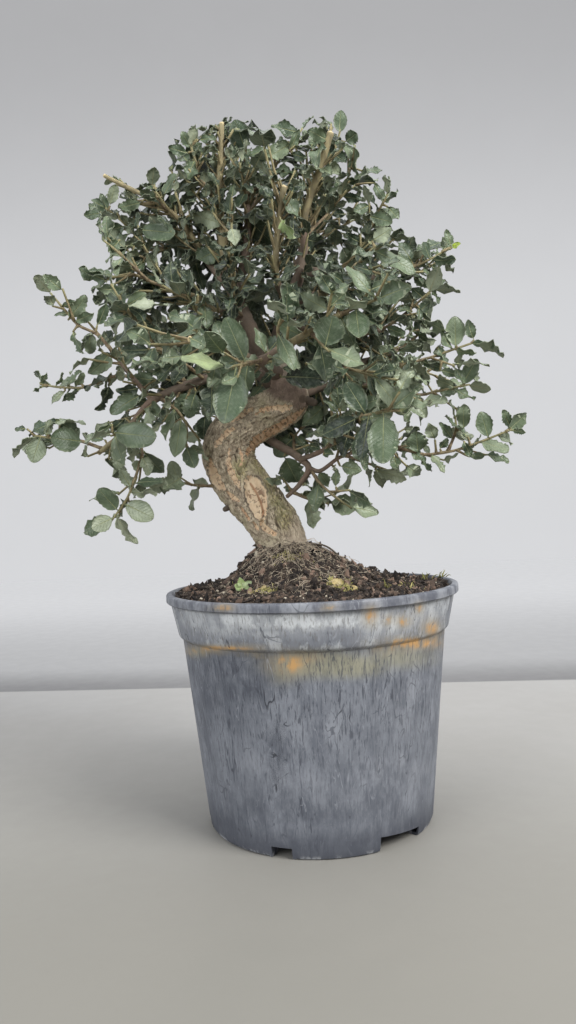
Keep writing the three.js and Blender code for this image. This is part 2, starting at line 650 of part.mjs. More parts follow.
// Every side shoot has a few possible turns. The first that is free is used.
function sideShootTurns(shoot, index, count) {
  const seed = shoot.seed + SIDE_SHOOT_SEED * (index + 1);
  const random = randomStream(seed);
  const distance = shoot.length * (SIDE_SHOOT.from + (SIDE_SHOOT.span * (index + 0.5)) / count);
  const { point, axis } = shootPoint(shoot, distance);
  const length = between(SIDE_SHOOT.length, random);
  const lean = between(SIDE_SHOOT.lean, random);
  const start = GOLDEN_ANGLE * index + FULL_TURN * random();
  const outwards = point.clone().sub(CROWN_CENTRE).normalize();
  const turns = [];
  for (let turn = 0; turn < TURNS; turn += 1) {
    const away = aroundAxis(axis, start + (turn * FULL_TURN) / TURNS);
    const direction = axis.clone().multiplyScalar(Math.cos(lean));
    direction.addScaledVector(away, Math.sin(lean));
    direction.addScaledVector(outwards, SIDE_SHOOT.outwards);
    direction.z += SIDE_SHOOT.upwards;
    direction.normalize();
    const tip = point.clone().addScaledVector(direction, length);
    turns.push(makeShoot([point.clone(), tip], false, seed));
  }
  return turns;
}

function leafTurns(shoot, distance, index, isEnd) {
  const random = randomStream(shoot.seed + LEAF_SEED + index);
  const { point, axis } = shootPoint(shoot, distance);
  const heightShare = THREE.MathUtils.inverseLerp(LEAF.lowestHeight, LEAF.highestHeight, point.z);
  const growth = THREE.MathUtils.lerp(...LEAF.growthByHeight, THREE.MathUtils.clamp(heightShare, 0, 1));
  const length = between(LEAF.length, random) * growth;
  const width = length * between(LEAF.widthShare, random);
  const lean = between(isEnd ? LEAF.endLean : LEAF.lean, random);
  const start = GOLDEN_ANGLE * index + between(LEAF.twist, random);
  const tilt = new THREE.Vector3().set(random() - 0.5, random() - 0.5, random() - 0.5);
  const fold = between(LEAF.fold, random);
  const curl = between(LEAF.curl, random);
  const wave = length * between(LEAF.wave, random);
  const phase = FULL_TURN * random();
  const outwards = point.clone().sub(CROWN_CENTRE).normalize();
  const light = outwards.clone().multiplyScalar(LEAF.faceOutwards).addScaledVector(tilt, 2 * LEAF.faceTilt);
  light.z += LEAF.faceUpwards;
  light.y -= LEAF.faceForwards;
  const turns = [];
  for (let turn = 0; turn < TURNS; turn += 1) {
    const away = aroundAxis(axis, start + (turn * FULL_TURN) / TURNS);
    const leafAxis = axis.clone().multiplyScalar(Math.cos(lean)).addScaledVector(away, Math.sin(lean));
    leafAxis.addScaledVector(outwards, LEAF.outwards).normalize();
    const face = squareTo(leafAxis, light);
    turns.push({ base: point.clone(), axis: leafAxis, face, length, width, fold, curl, wave, phase });
  }
  return turns;
}

function placedLeaf(shoot, at, tip, width, look) {
  const { point } = shootPoint(shoot, at * shoot.length);
  const axis = vector(tip).sub(point);
  const length = axis.length();
  axis.normalize();
  const face = squareTo(axis, vector(look));
  const phase = FULL_TURN * at;
  const { fold, curl, wave } = PLACED_SHAPE;
  return { base: point, axis, face, length, width, fold, curl, wave: wave * length, phase };
}

// Sprays

function twigSolid(shoot, grow) {
  const last = shoot.points.length - 1;
  const rootRadius = shoot.isMain ? TWIG_ROOT_RADIUS : SIDE_SHOOT.radius;
  const stations = shoot.points.map((point, index) => {
    return [point.x, point.y, point.z, THREE.MathUtils.lerp(rootRadius, TWIG_TIP_RADIUS, index / last)];
  });
  return tube(stations, TWIG_SIDES, last, grow);
}

function meets(solid, others) {
  return others.some((other) => !solid.intersect(other).isEmpty());
}

// Stems are laid out first, then the leaves placed one by one, then side shoots and more leaves
function makeSprays(tree, treeWithGap, soil) {
  const sprays = Object.entries(SPRAYS).map(([name, paths], index) => {
    const seeds = paths.map((path, order) => SPRAY_SEED * index + PATH_SEED * order);
    const shoots = paths.map((path, order) => makeShoot(path.map(vector), true, seeds[order]));
    const stems = joined(shoots.map((shoot) => twigSolid(shoot, 0))).subtract(treeWithGap);
    const twigs = largestPart(stems);
    return { name, shoots, twigs, blades: [], solid: twigs };
  });
  for (const addPieces of [addPlacedLeaves, addSideShoots, addLeaves]) {
    for (const spray of sprays) {
      const others = sprays.filter((other) => other !== spray).map((other) => other.solid);
      addPieces(spray, [tree, soil, ...others]);
    }
  }
  for (const spray of sprays) {
    spray.solid = largestPart(spray.solid);
  }
  return sprays;
}

// A leaf takes the first of its turns that is clear of everything, and is left out if none is
function addLeaf(spray, turns, neighbours) {
  const others = [...neighbours, ...spray.blades];
  const used = turns.find((leaf) => {
    return !meets(bladeSolid(leaf, GAP), others) && !meets(outerBlade(leaf), [spray.twigs]);
  });
  if (used) {
    const blade = bladeSolid(used, 0);
    spray.blades.push(blade);
    spray.solid = spray.solid.add(blade);
  }
}

function addPlacedLeaves(spray, neighbours) {
  const entries = PLACED_LEAVES.filter((entry) => entry[0] === spray.name);
  for (const [, at, tip, width, look] of entries) {
    addLeaf(spray, [placedLeaf(spray.shoots[0], at, tip, width, look)], neighbours);
  }
}

function addSideShoots(spray, neighbours) {
  for (const shoot of [...spray.shoots]) {
    const count = Math.min(SIDE_SHOOT.most, Math.round(shoot.length / SIDE_SHOOT.every));
    for (let i = 0; i < count; i += 1) {
      const turns = sideShootTurns(shoot, i, count);
      const others = [...neighbours, ...spray.blades];
      const used = turns.find((choice) => !meets(twigSolid(choice, GAP), others));
      if (used) {
        spray.shoots.push(used);
        spray.twigs = spray.twigs.add(twigSolid(used, 0));
        spray.solid = spray.solid.add(twigSolid(used, 0));
      }
    }
  }
}

function addLeaves(spray, neighbours) {
  for (const shoot of spray.shoots) {
    const start = shoot.isMain ? LEAF.bareShare * shoot.length : LEAF.bareSideShoot;
    const count = Math.max(1, Math.floor((shoot.length - start) / LEAF.every));
    for (let i = 0; i <= count; i += 1) {
      const isEnd = i === count;
      const distance = isEnd ? shoot.length - LEAF.endInset : start + i * LEAF.every;
      const inModel = isEnd || (shoot.isMain && i % LEAF.modelEvery === 1);
      if (inModel) {
        addLeaf(spray, leafTurns(shoot, distance, i, isEnd), neighbours);
      }
    }
  }
}

// Materials and the finished group

const POT_PLASTIC = new THREE.MeshStandardMaterial({ color: 0x7f838d, roughness: 0.62, metalness: 0 });
const POTTING_SOIL = new THREE.MeshStandardMaterial({ color: 0x2e2823, roughness: 0.95, metalness: 0 });
const CORK_BARK = new THREE.MeshStandardMaterial({ color: 0x85786a, roughness: 0.9, metalness: 0 });
const LEAF_GREEN = new THREE.MeshStandardMaterial({ color: 0x4c6049, roughness: 0.55, metalness: 0 });

function namedMesh(name, solid, material) {
  const mesh = new THREE.Mesh(toGeometry(solid), material);
  mesh.name = name;
  return mesh;
}

const tree = makeTree(0);
const treeWithGap = makeTree(GAP);
const soil = makeSoil(treeWithGap);
const sprays = makeSprays(tree, treeWithGap, soil);

const group = new THREE.Group();
group.add(namedMesh("pot", makePot(), POT_PLASTIC));
group.add(namedMesh("soil", soil, POTTING_SOIL));
group.add(namedMesh("trunk", tree, CORK_BARK));
for (const spray of sprays) {
  group.add(namedMesh(`spray_${spray.name}`, spray.solid, LEAF_GREEN));
}

export default group;
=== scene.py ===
"""Cork oak bonsai in a weathered nursery pot. Lengths are in millimetres, and in metres on the stage."""

import math

import bpy
import numpy as np
from mathutils import Matrix, Vector, noise


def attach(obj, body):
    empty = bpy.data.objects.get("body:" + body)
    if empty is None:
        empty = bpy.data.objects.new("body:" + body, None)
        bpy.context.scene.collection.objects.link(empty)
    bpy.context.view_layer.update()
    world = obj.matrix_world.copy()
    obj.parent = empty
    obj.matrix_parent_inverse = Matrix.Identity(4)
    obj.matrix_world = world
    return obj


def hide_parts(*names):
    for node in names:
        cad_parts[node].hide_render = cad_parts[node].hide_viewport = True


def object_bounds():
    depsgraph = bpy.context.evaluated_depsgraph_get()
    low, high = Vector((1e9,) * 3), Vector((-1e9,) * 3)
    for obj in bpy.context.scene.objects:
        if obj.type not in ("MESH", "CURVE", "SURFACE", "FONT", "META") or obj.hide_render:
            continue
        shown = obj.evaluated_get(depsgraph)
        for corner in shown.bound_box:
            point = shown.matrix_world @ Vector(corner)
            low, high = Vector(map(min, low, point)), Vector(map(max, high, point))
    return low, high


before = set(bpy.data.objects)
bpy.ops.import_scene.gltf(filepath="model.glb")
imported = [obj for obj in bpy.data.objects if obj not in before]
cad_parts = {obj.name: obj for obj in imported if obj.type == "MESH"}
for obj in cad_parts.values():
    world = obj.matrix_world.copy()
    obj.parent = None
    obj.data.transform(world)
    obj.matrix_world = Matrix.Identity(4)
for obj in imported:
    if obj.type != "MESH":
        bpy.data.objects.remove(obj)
cad_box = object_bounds()

METRE = 1000.0
FULL_TURN = 2 * math.pi
BODY = "root"

# The photograph's frame and its camera, in pixels and millimetres
IMAGE_WIDTH = 576
IMAGE_HEIGHT = 1024
FOCAL_PIXELS = 775.0
SENSOR = 36.0
CAMERA_PLACE = np.array([0.0, -607.0, 238.0])
CAMERA_YAW = -0.0258
CAMERA_PITCH = 0.0045
CAMERA_ROLL = -0.045
VIEW_LIMITS = (0.02, 20)

# The stage, in metres
TABLE_EDGE = 0.427
EDGE_SLANT = 0.076
WALL_DISTANCE = 2.4
BACKDROP_BASE = (120, 120, 121)
STAGE_HALF_WIDTH = 3.0
STAGE_FRONT = -2.5
STAGE_TOP = 2.6

# Lamps: place, the height that they light, size in metres, power in watts and tint
LAMPS = {
    "key": ((1.1, -0.9, 1.35), 0.28, 1.0, 37, (1.0, 0.99, 0.97)),
    "fill": ((-1.3, -1.3, 0.9), 0.25, 1.4, 19, (0.97, 0.985, 1.0)),
    "top": ((-0.1, 0.15, 1.7), 0.3, 1.2, 10, (1.0, 1.0, 1.0)),
}
SKY_TINT = (0.93, 0.95, 1.0, 1)
SKY_STRENGTH = 0.5

# The pot
POT_HEIGHT = 177.0
RIM_RADIUS = 112.5
BASE_RADIUS = 86.5
LIP_HEIGHT = 6.5
LIP_OVERHANG = 3.2
COLLAR_HEIGHT = 31.0
COLLAR_TAPER = 5.2
COLLAR_STEP = 3.0
STEP_HEIGHT = 3.0
WALL = 1.8
FLOOR = 2.0
FLOOR_RINGS = (40, 60)
POT_SIDES = 180
WALL_STEPS = 34
COLLAR_STEPS = 9
SHARP_ANGLE = math.radians(38)
CHANNELS = 6
FIRST_CHANNEL = math.radians(-109)
CHANNEL_START = 34.0
CHANNEL_WIDTH = 15.0
CHANNEL_HEIGHT = 8.0
BROKEN_CHANNEL = 1
BROKEN_WIDTH = 38.0
BROKEN_SHIFT = -2.0
BITE_DEPTH = 40.0
BITE_HEIGHT = 9.0
BITE_INSET = 4.0
BITE_SLANT = 1.8
CUT_BELOW = 5.0
COVER_INSET = 1.2
COVER_LIFT = 0.4
DRAIN_HOLE = 7.0
DRAIN_HOLE_RADIUS = 72.5
DRAIN_HOLE_OVERLAP = 2.0

# The soil
SOIL_EDGE = 174.5
SOIL_RISE = 10.0
SOIL_SLOPE_RADIUS = 95.0
SOIL_RADIUS = 106.0
SOIL_BOTTOM = 10.4
MOUND_RISE = 30.0
MOUND_CENTRE = np.array([-21.0, 0.0])
MOUND_SPREAD = (36.0, 60.0)
MOUND_STEEPNESS = (3.0, 2.0)
SOIL_SIDE = [(SOIL_RADIUS, SOIL_EDGE - 6), (101, 146), (83, SOIL_BOTTOM)]
SOIL_GRID = (96, 200)
SOIL_WAVE = 0.8
SOIL_WAVE_LENGTHS = (7.3, 8.9)
CLOD_SIZE = 9.0
CLOD_HEIGHT = 2.2
CRUMB_SIZE = 2.1
CRUMB_HEIGHT = 1.1

# Trunk: x, y, z and radius of each station, from the foot in the soil to the fork
TRUNK = [
    [-19, 0, 166, 22],
    [-20, 0, 190, 22],
    [-21, 0, 208, 19.5],
    [-24, 0, 219, 18.2],
    [-33, 2, 234, 19.5],
    [-45, 4, 251, 20],
    [-56, 6, 267, 20.3],
    [-60, 6, 283, 20.5],
    [-54, 4, 297, 19.5],
    [-38, 0, 308, 17.8],
    [-21, -4, 316, 16.5],
    [-11, -5, 324, 15.5],
    [-14, -3, 335, 12.6],
    [-21, 0, 349, 10.2],
    [-27, 2, 362, 9.4],
]

# Limbs and pruned stubs: x, y, z and radius of each station, from the root outwards
LIMBS = {
    "leader_left": [[-27, 2, 358, 9], [-37, 2, 373, 8.4], [-43, 1, 387, 7.8], [-48, 0, 403, 7],
                    [-54, 0, 427, 5.6], [-57, -2, 454, 4.4], [-58, -4, 480, 3.2], [-53, -8, 538, 2.1]],
    "leader_right": [[-24, 0, 356, 8.6], [-15, 4, 379, 7.8], [-7, 6, 401, 7], [3, 6, 427, 6],
                     [6, 2, 448, 5], [8, -4, 466, 4.2], [21, -12, 497, 3.8], [30, -18, 521, 3.5]],
    "leader_middle": [[-47, 0, 400, 5], [-43, 6, 428, 4], [-38, 8, 456, 3.2], [-37, 4, 478, 2.4]],
    "front_stub": [[-7, 2, 401, 4], [-15, -16, 409, 2.8], [-16, -24, 424, 2.5], [-7, -36, 475, 2.2]],
    "left_stub": [[-49, 0, 405, 4.5], [-70, 2, 435, 3.6], [-94, -4, 471, 2.6], [-145, -14, 500, 2]],
    "left_middle": [[-46, -2, 392, 4], [-57, -12, 391, 3], [-76, -18, 402, 2.4], [-100, -20, 410, 2]],
    "left": [[-25, -4, 338, 7], [-34, -10, 343, 5.6], [-59, -14, 343, 5], [-85, -18, 336, 4.4],
             [-114, -22, 324, 3.8], [-134, -24, 303, 2.9], [-156, -26, 286, 2.2]],
    "left_rising": [[-114, -22, 324, 2.8], [-129, -26, 344, 2.4], [-140, -30, 360, 2]],
    "right": [[-8, -4, 325, 8], [5, 2, 329, 5], [19, 4, 333, 4.2], [45, 2, 331, 3.2],
              [65, -2, 331, 2.4]],
    "right_middle": [[2, 6, 424, 4.2], [26, 14, 425, 3.2], [49, 10, 418, 2.6], [68, 2, 415, 2.1]],
    "right_front": [[-5, 2, 401, 4.4], [15, -24, 397, 3.4], [30, -46, 398, 2.6]],
    "right_lower": [[-12, 4, 385, 5], [15, 18, 380, 3.6], [40, 16, 374, 2.8], [64, 10, 376, 2.1]],
    "low": [[-33, 4, 302, 7], [-27, 8, 293, 5], [-8, 4, 280, 4.2], [2, -2, 269, 3.6],
            [-5, -4, 257, 2.8], [-16, -4, 247, 2.2]],
    "low_out": [[2, -2, 269, 3], [10, -4, 266, 2.6], [27, -6, 276, 2.3], [50, -8, 281, 2.1],
                [71, -10, 281, 1.9]],
    "low_front": [[-3, 0, 276, 3], [16, -22, 282, 2.5], [23, -45, 290, 2.2], [31, -68, 294, 2]],
    "front": [[-18, -4, 341, 6], [-25, -34, 344, 4.2], [-27, -70, 341, 3.4], [-26, -94, 337, 2.8]],
    "front_right": [[-26, -92, 337, 2.6], [-13, -99, 343, 2.4], [9, -104, 353, 2.2],
                    [26, -108, 361, 2]],
    "front_left_stub": [[-27, -68, 341, 3], [-46, -92, 344, 2.6], [-70, -118, 348, 2.4]],
    "back": [[-22, 4, 350, 6], [-18, 36, 372, 4], [-10, 68, 396, 3], [-4, 92, 418, 2.2]],
    "back_left": [[-32, 2, 368, 5], [-62, 34, 384, 3.6], [-92, 62, 392, 2.6], [-112, 78, 398, 2]],
    "back_right": [[-12, 0, 334, 6], [22, 38, 352, 4], [58, 62, 362, 3], [84, 76, 372, 2]],
    "back_top": [[3, 6, 430, 4.4], [12, 36, 458, 3.2], [14, 60, 482, 2.2]],
    "back_low": [[-32, 6, 312, 6], [-34, 44, 322, 3.6], [-44, 76, 326, 2.4]],
}

# Small knobs where shoots were pruned flush: start, end and radius
KNOBS = [
    [[-58, -2, 243], [-65.5, -5, 239], 2.4],
    [[0, -6, 322], [10, -10, 318], 3.2],
]

# Leafy sprays. The first path starts on a limb, and each further path forks from it.
SPRAYS = {
    "left_far": [[[-152, -25, 289], [-168, -27, 296], [-186, -30, 298], [-202, -33, 301]]],
    "left_hang": [[[-132, -24, 305], [-120, -34, 285], [-126, -38, 266], [-133, -38, 250],
                   [-146, -38, 234]]],
    "left_oval": [[[-140, -25, 298], [-139, -50, 299]]],
    "left_low": [[[-108, -21, 326], [-95, -28, 316], [-87, -30, 304], [-89, -30, 287]]],
    "left_up": [[[-140, -30, 360], [-151, -32, 375], [-164, -34, 380], [-184, -35, 406]]],
    "left_thin": [[[-128, -26, 343], [-145, -18, 345], [-169, -12, 338], [-189, -9, 340],
                   [-198, -8, 342]]],
    "left_front": [[[-74, -16, 339], [-84, -46, 346], [-100, -60, 354], [-121, -65, 382],
                    [-131, -65, 401]]],
    "left_inner": [[[-89, -18, 336], [-99, -12, 362], [-116, -5, 391], [-132, 0, 409]]],
    "left_mid": [[[-100, -20, 410], [-113, -22, 415], [-125, -24, 421], [-139, -26, 418]],
                 [[-113, -22, 415], [-131, -40, 432], [-141, -40, 441]]],
    "left_rise": [[[-87, -19, 406], [-107, -10, 425], [-116, -8, 442], [-121, -12, 461]]],
    "left_top": [[[-83, -1, 455], [-111, 14, 450], [-127, 16, 461], [-139, 14, 477], [-150, 12, 484]]],
    "left_bud": [[[-98, -5, 474], [-105, -12, 478], [-108, -16, 490]]],
    "top_left": [[[-58, -4, 484], [-72, -12, 493], [-74, -14, 508], [-77, -16, 518]]],
    "top_middle": [[[-37, 4, 477], [-36, 2, 497], [-36, 0, 524]],
                   [[-37, 4, 480], [-37, -22, 482], [-39, -34, 495]],
                   [[-36, 3, 487], [-23, -4, 490], [-10, -8, 507], [9, -12, 528]]],
    "top_far": [[[6, 1, 449], [28, 14, 473], [41, 18, 493], [49, 18, 515]]],
    "top_high": [[[13, -7, 479], [27, 16, 506], [36, 22, 529], [40, 22, 542]]],
    "top_back": [[[-38, 7, 464], [-29, 34, 502], [-24, 44, 531]]],
    "centre_front": [[[-44, 0, 389], [-47, -44, 388], [-46, -62, 404], [-45, -66, 424],
                      [-44, -68, 442]]],
    "centre_low": [[[-45, -2, 396], [-62, -40, 380], [-72, -64, 378], [-76, -74, 388]]],
    "front_left": [[[-26, -94, 337], [-36, -106, 333], [-47, -116, 329]]],
    "front_mid": [[[-13, -99, 343], [-15, -110, 353], [-11, -118, 359]]],
    "front_tip": [[[26, -108, 361], [37, -110, 365], [52, -112, 369]]],
    "front_drop": [[[7, -103, 352], [14, -112, 341], [18, -116, 336]]],
    "right_peak": [[[49, 10, 418], [54, 16, 440], [60, 16, 461], [71, 14, 479]]],
    "right_front_out": [[[30, -46, 398], [41, -60, 406], [55, -68, 417]],
                        [[41, -60, 406], [46, -72, 398], [59, -82, 400]]],
    "right_bud": [[[68, 2, 415], [89, 0, 421], [108, -2, 428], [114, -3, 432]]],
    "right_pair": [[[59, 6, 417], [79, 28, 417], [97, 32, 425], [116, 32, 435]]],
    "right_rise": [[[64, 10, 376], [79, 8, 384], [93, 8, 395], [106, 8, 406]]],
    "right_long": [[[58, -1, 331], [77, -10, 344], [98, -12, 348], [118, -12, 354], [132, -12, 358]]],
    "right_flat": [[[65, -2, 331], [91, 0, 321], [110, 0, 325], [130, 0, 328]]],
    "right_far": [[[71, -10, 281], [91, -13, 274], [113, -16, 276], [136, -18, 283], [153, -20, 289]],
                  [[108, -15, 276], [116, -14, 292], [115, -14, 302]]],
    "right_under": [[[31, -7, 277], [54, 10, 269], [72, 14, 262]]],
    "right_drop": [[[4, -2, 267], [9, -14, 257], [20, -20, 246], [33, -22, 236]]],
    "right_hook": [[[-12, -4, 251], [2, -2, 244], [18, 4, 241]]],
    "low_front_end": [[[31, -68, 294], [39, -86, 298], [58, -98, 299]]],
    "low_up": [[[-9, 4, 281], [-9, 14, 295], [0, 20, 305]]],
    "right_cross": [[[22, 4, 333], [31, -50, 337], [50, -78, 325], [67, -86, 320]]],
    "right_mid_front": [[[51, 1, 330], [68, -36, 320], [86, -50, 310]]],
    "trunk_shoot": [[[-70, 2, 258], [-87, -2, 259], [-105, -4, 264]]],
    "back_crest": [[[-4, 92, 418], [2, 112, 436], [10, 126, 452]]],
    "back_west": [[[-10, 68, 396], [-24, 92, 404], [-34, 116, 398]]],
    "back_east": [[[-12, 60, 390], [16, 84, 392], [34, 108, 386]]],
    "back_mid": [[[-16, 44, 378], [-14, 72, 362], [-12, 104, 350]]],
    "back_left_end": [[[-112, 78, 398], [-128, 86, 412], [-138, 88, 430]]],
    "back_left_out": [[[-92, 62, 392], [-118, 66, 378], [-142, 68, 364]]],
    "back_left_down": [[[-80, 52, 389], [-84, 84, 382], [-86, 112, 370]]],
    "back_left_up": [[[-70, 42, 387], [-92, 52, 414], [-104, 58, 440]]],
    "back_right_end": [[[84, 76, 372], [102, 84, 384], [116, 84, 400]]],
    "back_right_down": [[[58, 62, 362], [62, 90, 350], [60, 114, 342]]],
    "back_right_out": [[[68, 67, 366], [98, 58, 352], [124, 52, 340]]],
    "back_right_up": [[[40, 50, 357], [62, 56, 384], [72, 60, 410]]],
    "back_top_end": [[[14, 60, 482], [20, 76, 500], [20, 84, 518]]],
    "back_top_east": [[[12, 36, 458], [38, 52, 474], [56, 62, 486]]],
    "back_top_west": [[[10, 30, 452], [-18, 58, 462], [-36, 84, 470]]],
    "back_low_end": [[[-44, 76, 326], [-50, 98, 322], [-58, 116, 312]]],
    "back_low_left": [[[-36, 50, 323], [-66, 66, 316], [-92, 78, 308]]],
    "back_shelf": [[[-70, 2, 435], [-84, 34, 456], [-98, 56, 474]]],
}

# Leaves placed one by one: spray, place along its first path, tip, width, the way the face looks and
# a tone from 0, dark, to 1, light, which paints the leaf's light and shade as well as its colour
PLACED_SHAPE = {"fold": 0.12, "curl": 0.05, "wave": 0.04}
FRONT = [0, -1, 0.15]
LEFT_FRONT = [-0.5, -0.8, 0.3]
RIGHT_FRONT = [0.5, -0.8, 0.3]
UP_FRONT = [0, -0.7, 0.7]
PLACED_LEAVES = [
    ["left_oval", 0.9, [-106, -62, 293], 20, FRONT, 0.45],
    ["left_far", 0.3, [-186, -42, 298], 19, FRONT, 0.42],
    ["left_far", 0.9, [-204, -34, 281], 15, FRONT, 0.65],
    ["left_hang", 0.8, [-113, -46, 236], 16, FRONT, 0.7],
    ["left_hang", 0.95, [-159, -42, 230], 13, FRONT, 0.75],
    ["left_hang", 0.88, [-152, -46, 258], 16, LEFT_FRONT, 0.5],
    ["left_hang", 0.6, [-105, -42, 263], 10, UP_FRONT, 0.35],
    ["left_low", 0.5, [-95, -44, 280], 13, FRONT, 0.6],
    ["trunk_shoot", 0.85, [-105, -6, 279], 11, FRONT, 0.7],
    ["front_left", 0.75, [-50, -122, 294], 22, FRONT, 0.36],
    ["front_left", 0.95, [-74, -128, 336], 15, UP_FRONT, 0.93],
    ["front_left", 0.5, [-47, -112, 362], 16, FRONT, 0.42],
    ["centre_low", 0.7, [-84, -90, 352], 18, LEFT_FRONT, 0.42],
    ["front_drop", 0.8, [21, -122, 357], 20, FRONT, 0.42],
    ["front_tip", 0.4, [37, -122, 343], 15, FRONT, 0.45],
    ["front_tip", 0.9, [32, -116, 390], 11, RIGHT_FRONT, 0.55],
    ["front_mid", 0.5, [-4, -116, 326], 11, UP_FRONT, 0.5],
    ["low_front_end", 0.85, [50, -104, 265], 21, FRONT, 0.44],
    ["low_front_end", 0.6, [36, -96, 268], 13, LEFT_FRONT, 0.05],
    ["low_front_end", 0.4, [12, -82, 287], 13, FRONT, 0.03],
    ["low_front_end", 0.55, [29, -92, 320], 15, FRONT, 0.25],
    ["right_cross", 0.8, [66, -92, 298], 12, FRONT, 0.65],
    ["right_far", 0.74, [150, -31, 274], 15, RIGHT_FRONT, 0.65],
    ["right_far", 0.82, [133, -22, 304], 13, FRONT, 0.5],
    ["right_long", 0.82, [118, -16, 378], 15, FRONT, 0.6],
    ["right_flat", 0.9, [136, -4, 347], 12, FRONT, 0.5],
    ["right_front_out", 0.9, [84, -60, 401], 15, RIGHT_FRONT, 0.55],
    ["right_bud", 0.75, [98, -8, 438], 12, RIGHT_FRONT, 0.3],
    ["top_high", 0.95, [41, 20, 557], 11, FRONT, 0.5],
    ["top_middle", 0.9, [-43, -8, 540], 16, FRONT, 0.3],
    ["left_rise", 0.95, [-92, -18, 452], 16, FRONT, 0.4],
    ["low_up", 0.5, [-25, 14, 281], 15, FRONT, 0.5],
]

# The crown's outline in the photograph, in pixels, clockwise from the top left, and the gaps
# inside it: middle and radius. Leaves that fill the crown keep inside the one and off the other.
CROWN_OUTLINE = [
    (188, 124), (207, 127), (224, 117), (250, 118), (264, 124), (290, 124), (310, 122), (334, 112),
    (351, 115), (363, 138), (384, 166), (400, 188), (401, 218), (396, 232), (412, 236), (426, 248),
    (438, 238), (446, 226), (463, 242), (458, 264), (448, 284), (442, 301), (426, 310), (436, 326),
    (452, 317), (472, 319), (486, 338), (482, 356), (488, 374), (480, 390), (472, 404), (484, 408),
    (504, 410), (528, 432), (505, 455), (484, 460), (456, 456), (438, 470), (408, 480), (384, 479),
    (368, 471), (348, 468), (352, 494), (362, 519), (326, 520), (312, 506), (292, 500), (270, 480),
    (206, 492), (186, 484), (166, 496), (154, 518), (130, 526), (106, 537), (86, 530), (86, 493),
    (100, 484), (112, 468), (104, 456), (62, 458), (28, 463), (13, 434), (24, 414), (46, 408),
    (84, 411), (100, 416), (106, 398), (84, 388), (58, 402), (32, 386), (40, 368), (84, 358), (70, 345),
    (52, 326), (40, 300), (34, 278), (52, 278), (72, 292), (92, 294), (76, 276), (76, 268), (100, 262),
    (108, 250), (98, 234), (81, 218), (88, 196), (106, 192), (104, 174), (120, 168), (132, 188),
    (146, 182), (164, 184), (176, 170), (166, 152), (176, 133),
]
CROWN_GAPS = [(268, 312, 8), (300, 351, 6), (363, 357, 7), (443, 408, 9), (189, 437, 9),
              (318, 462, 9), (184, 309, 5), (158, 454, 5), (140, 205, 8), (232, 440, 14),
              (250, 470, 26), (280, 520, 22)]

# Wood that stays in sight in the photograph: points in pixels with a half width, and how far forward
# the wood is. Leaves that fill the crown don't come in front of it.
WOOD_IN_SIGHT = [
    ([(292, 386, 20), (278, 408, 26), (246, 425, 20), (230, 455, 24), (242, 490, 26),
      (264, 515, 28), (276, 545, 30)], -5),
    ([(252, 310, 6), (250, 340, 9), (256, 368, 10)], -2),
    ([(333, 128, 6), (320, 172, 6), (306, 212, 5)], -12),
    ([(281, 184, 5), (277, 225, 5), (275, 262, 4)], -20),
    ([(105, 172, 5), (140, 196, 5), (177, 215, 4)], -8),
    ([(222, 118, 4), (220, 172, 4)], -4),
    ([(98, 453, 4), (125, 425, 5), (152, 396, 5)], -22),
    ([(130, 273, 3), (176, 296, 4), (222, 312, 3)], -16),
    ([(262, 358, 3), (310, 333, 3), (352, 314, 3)], -30),
    ([(268, 442, 6), (290, 456, 5), (313, 470, 5), (343, 457, 3)], -4),
    ([(313, 470, 4), (300, 488, 4), (288, 496, 4)], -4),
    ([(182, 484, 3), (212, 488, 3)], -2),
]
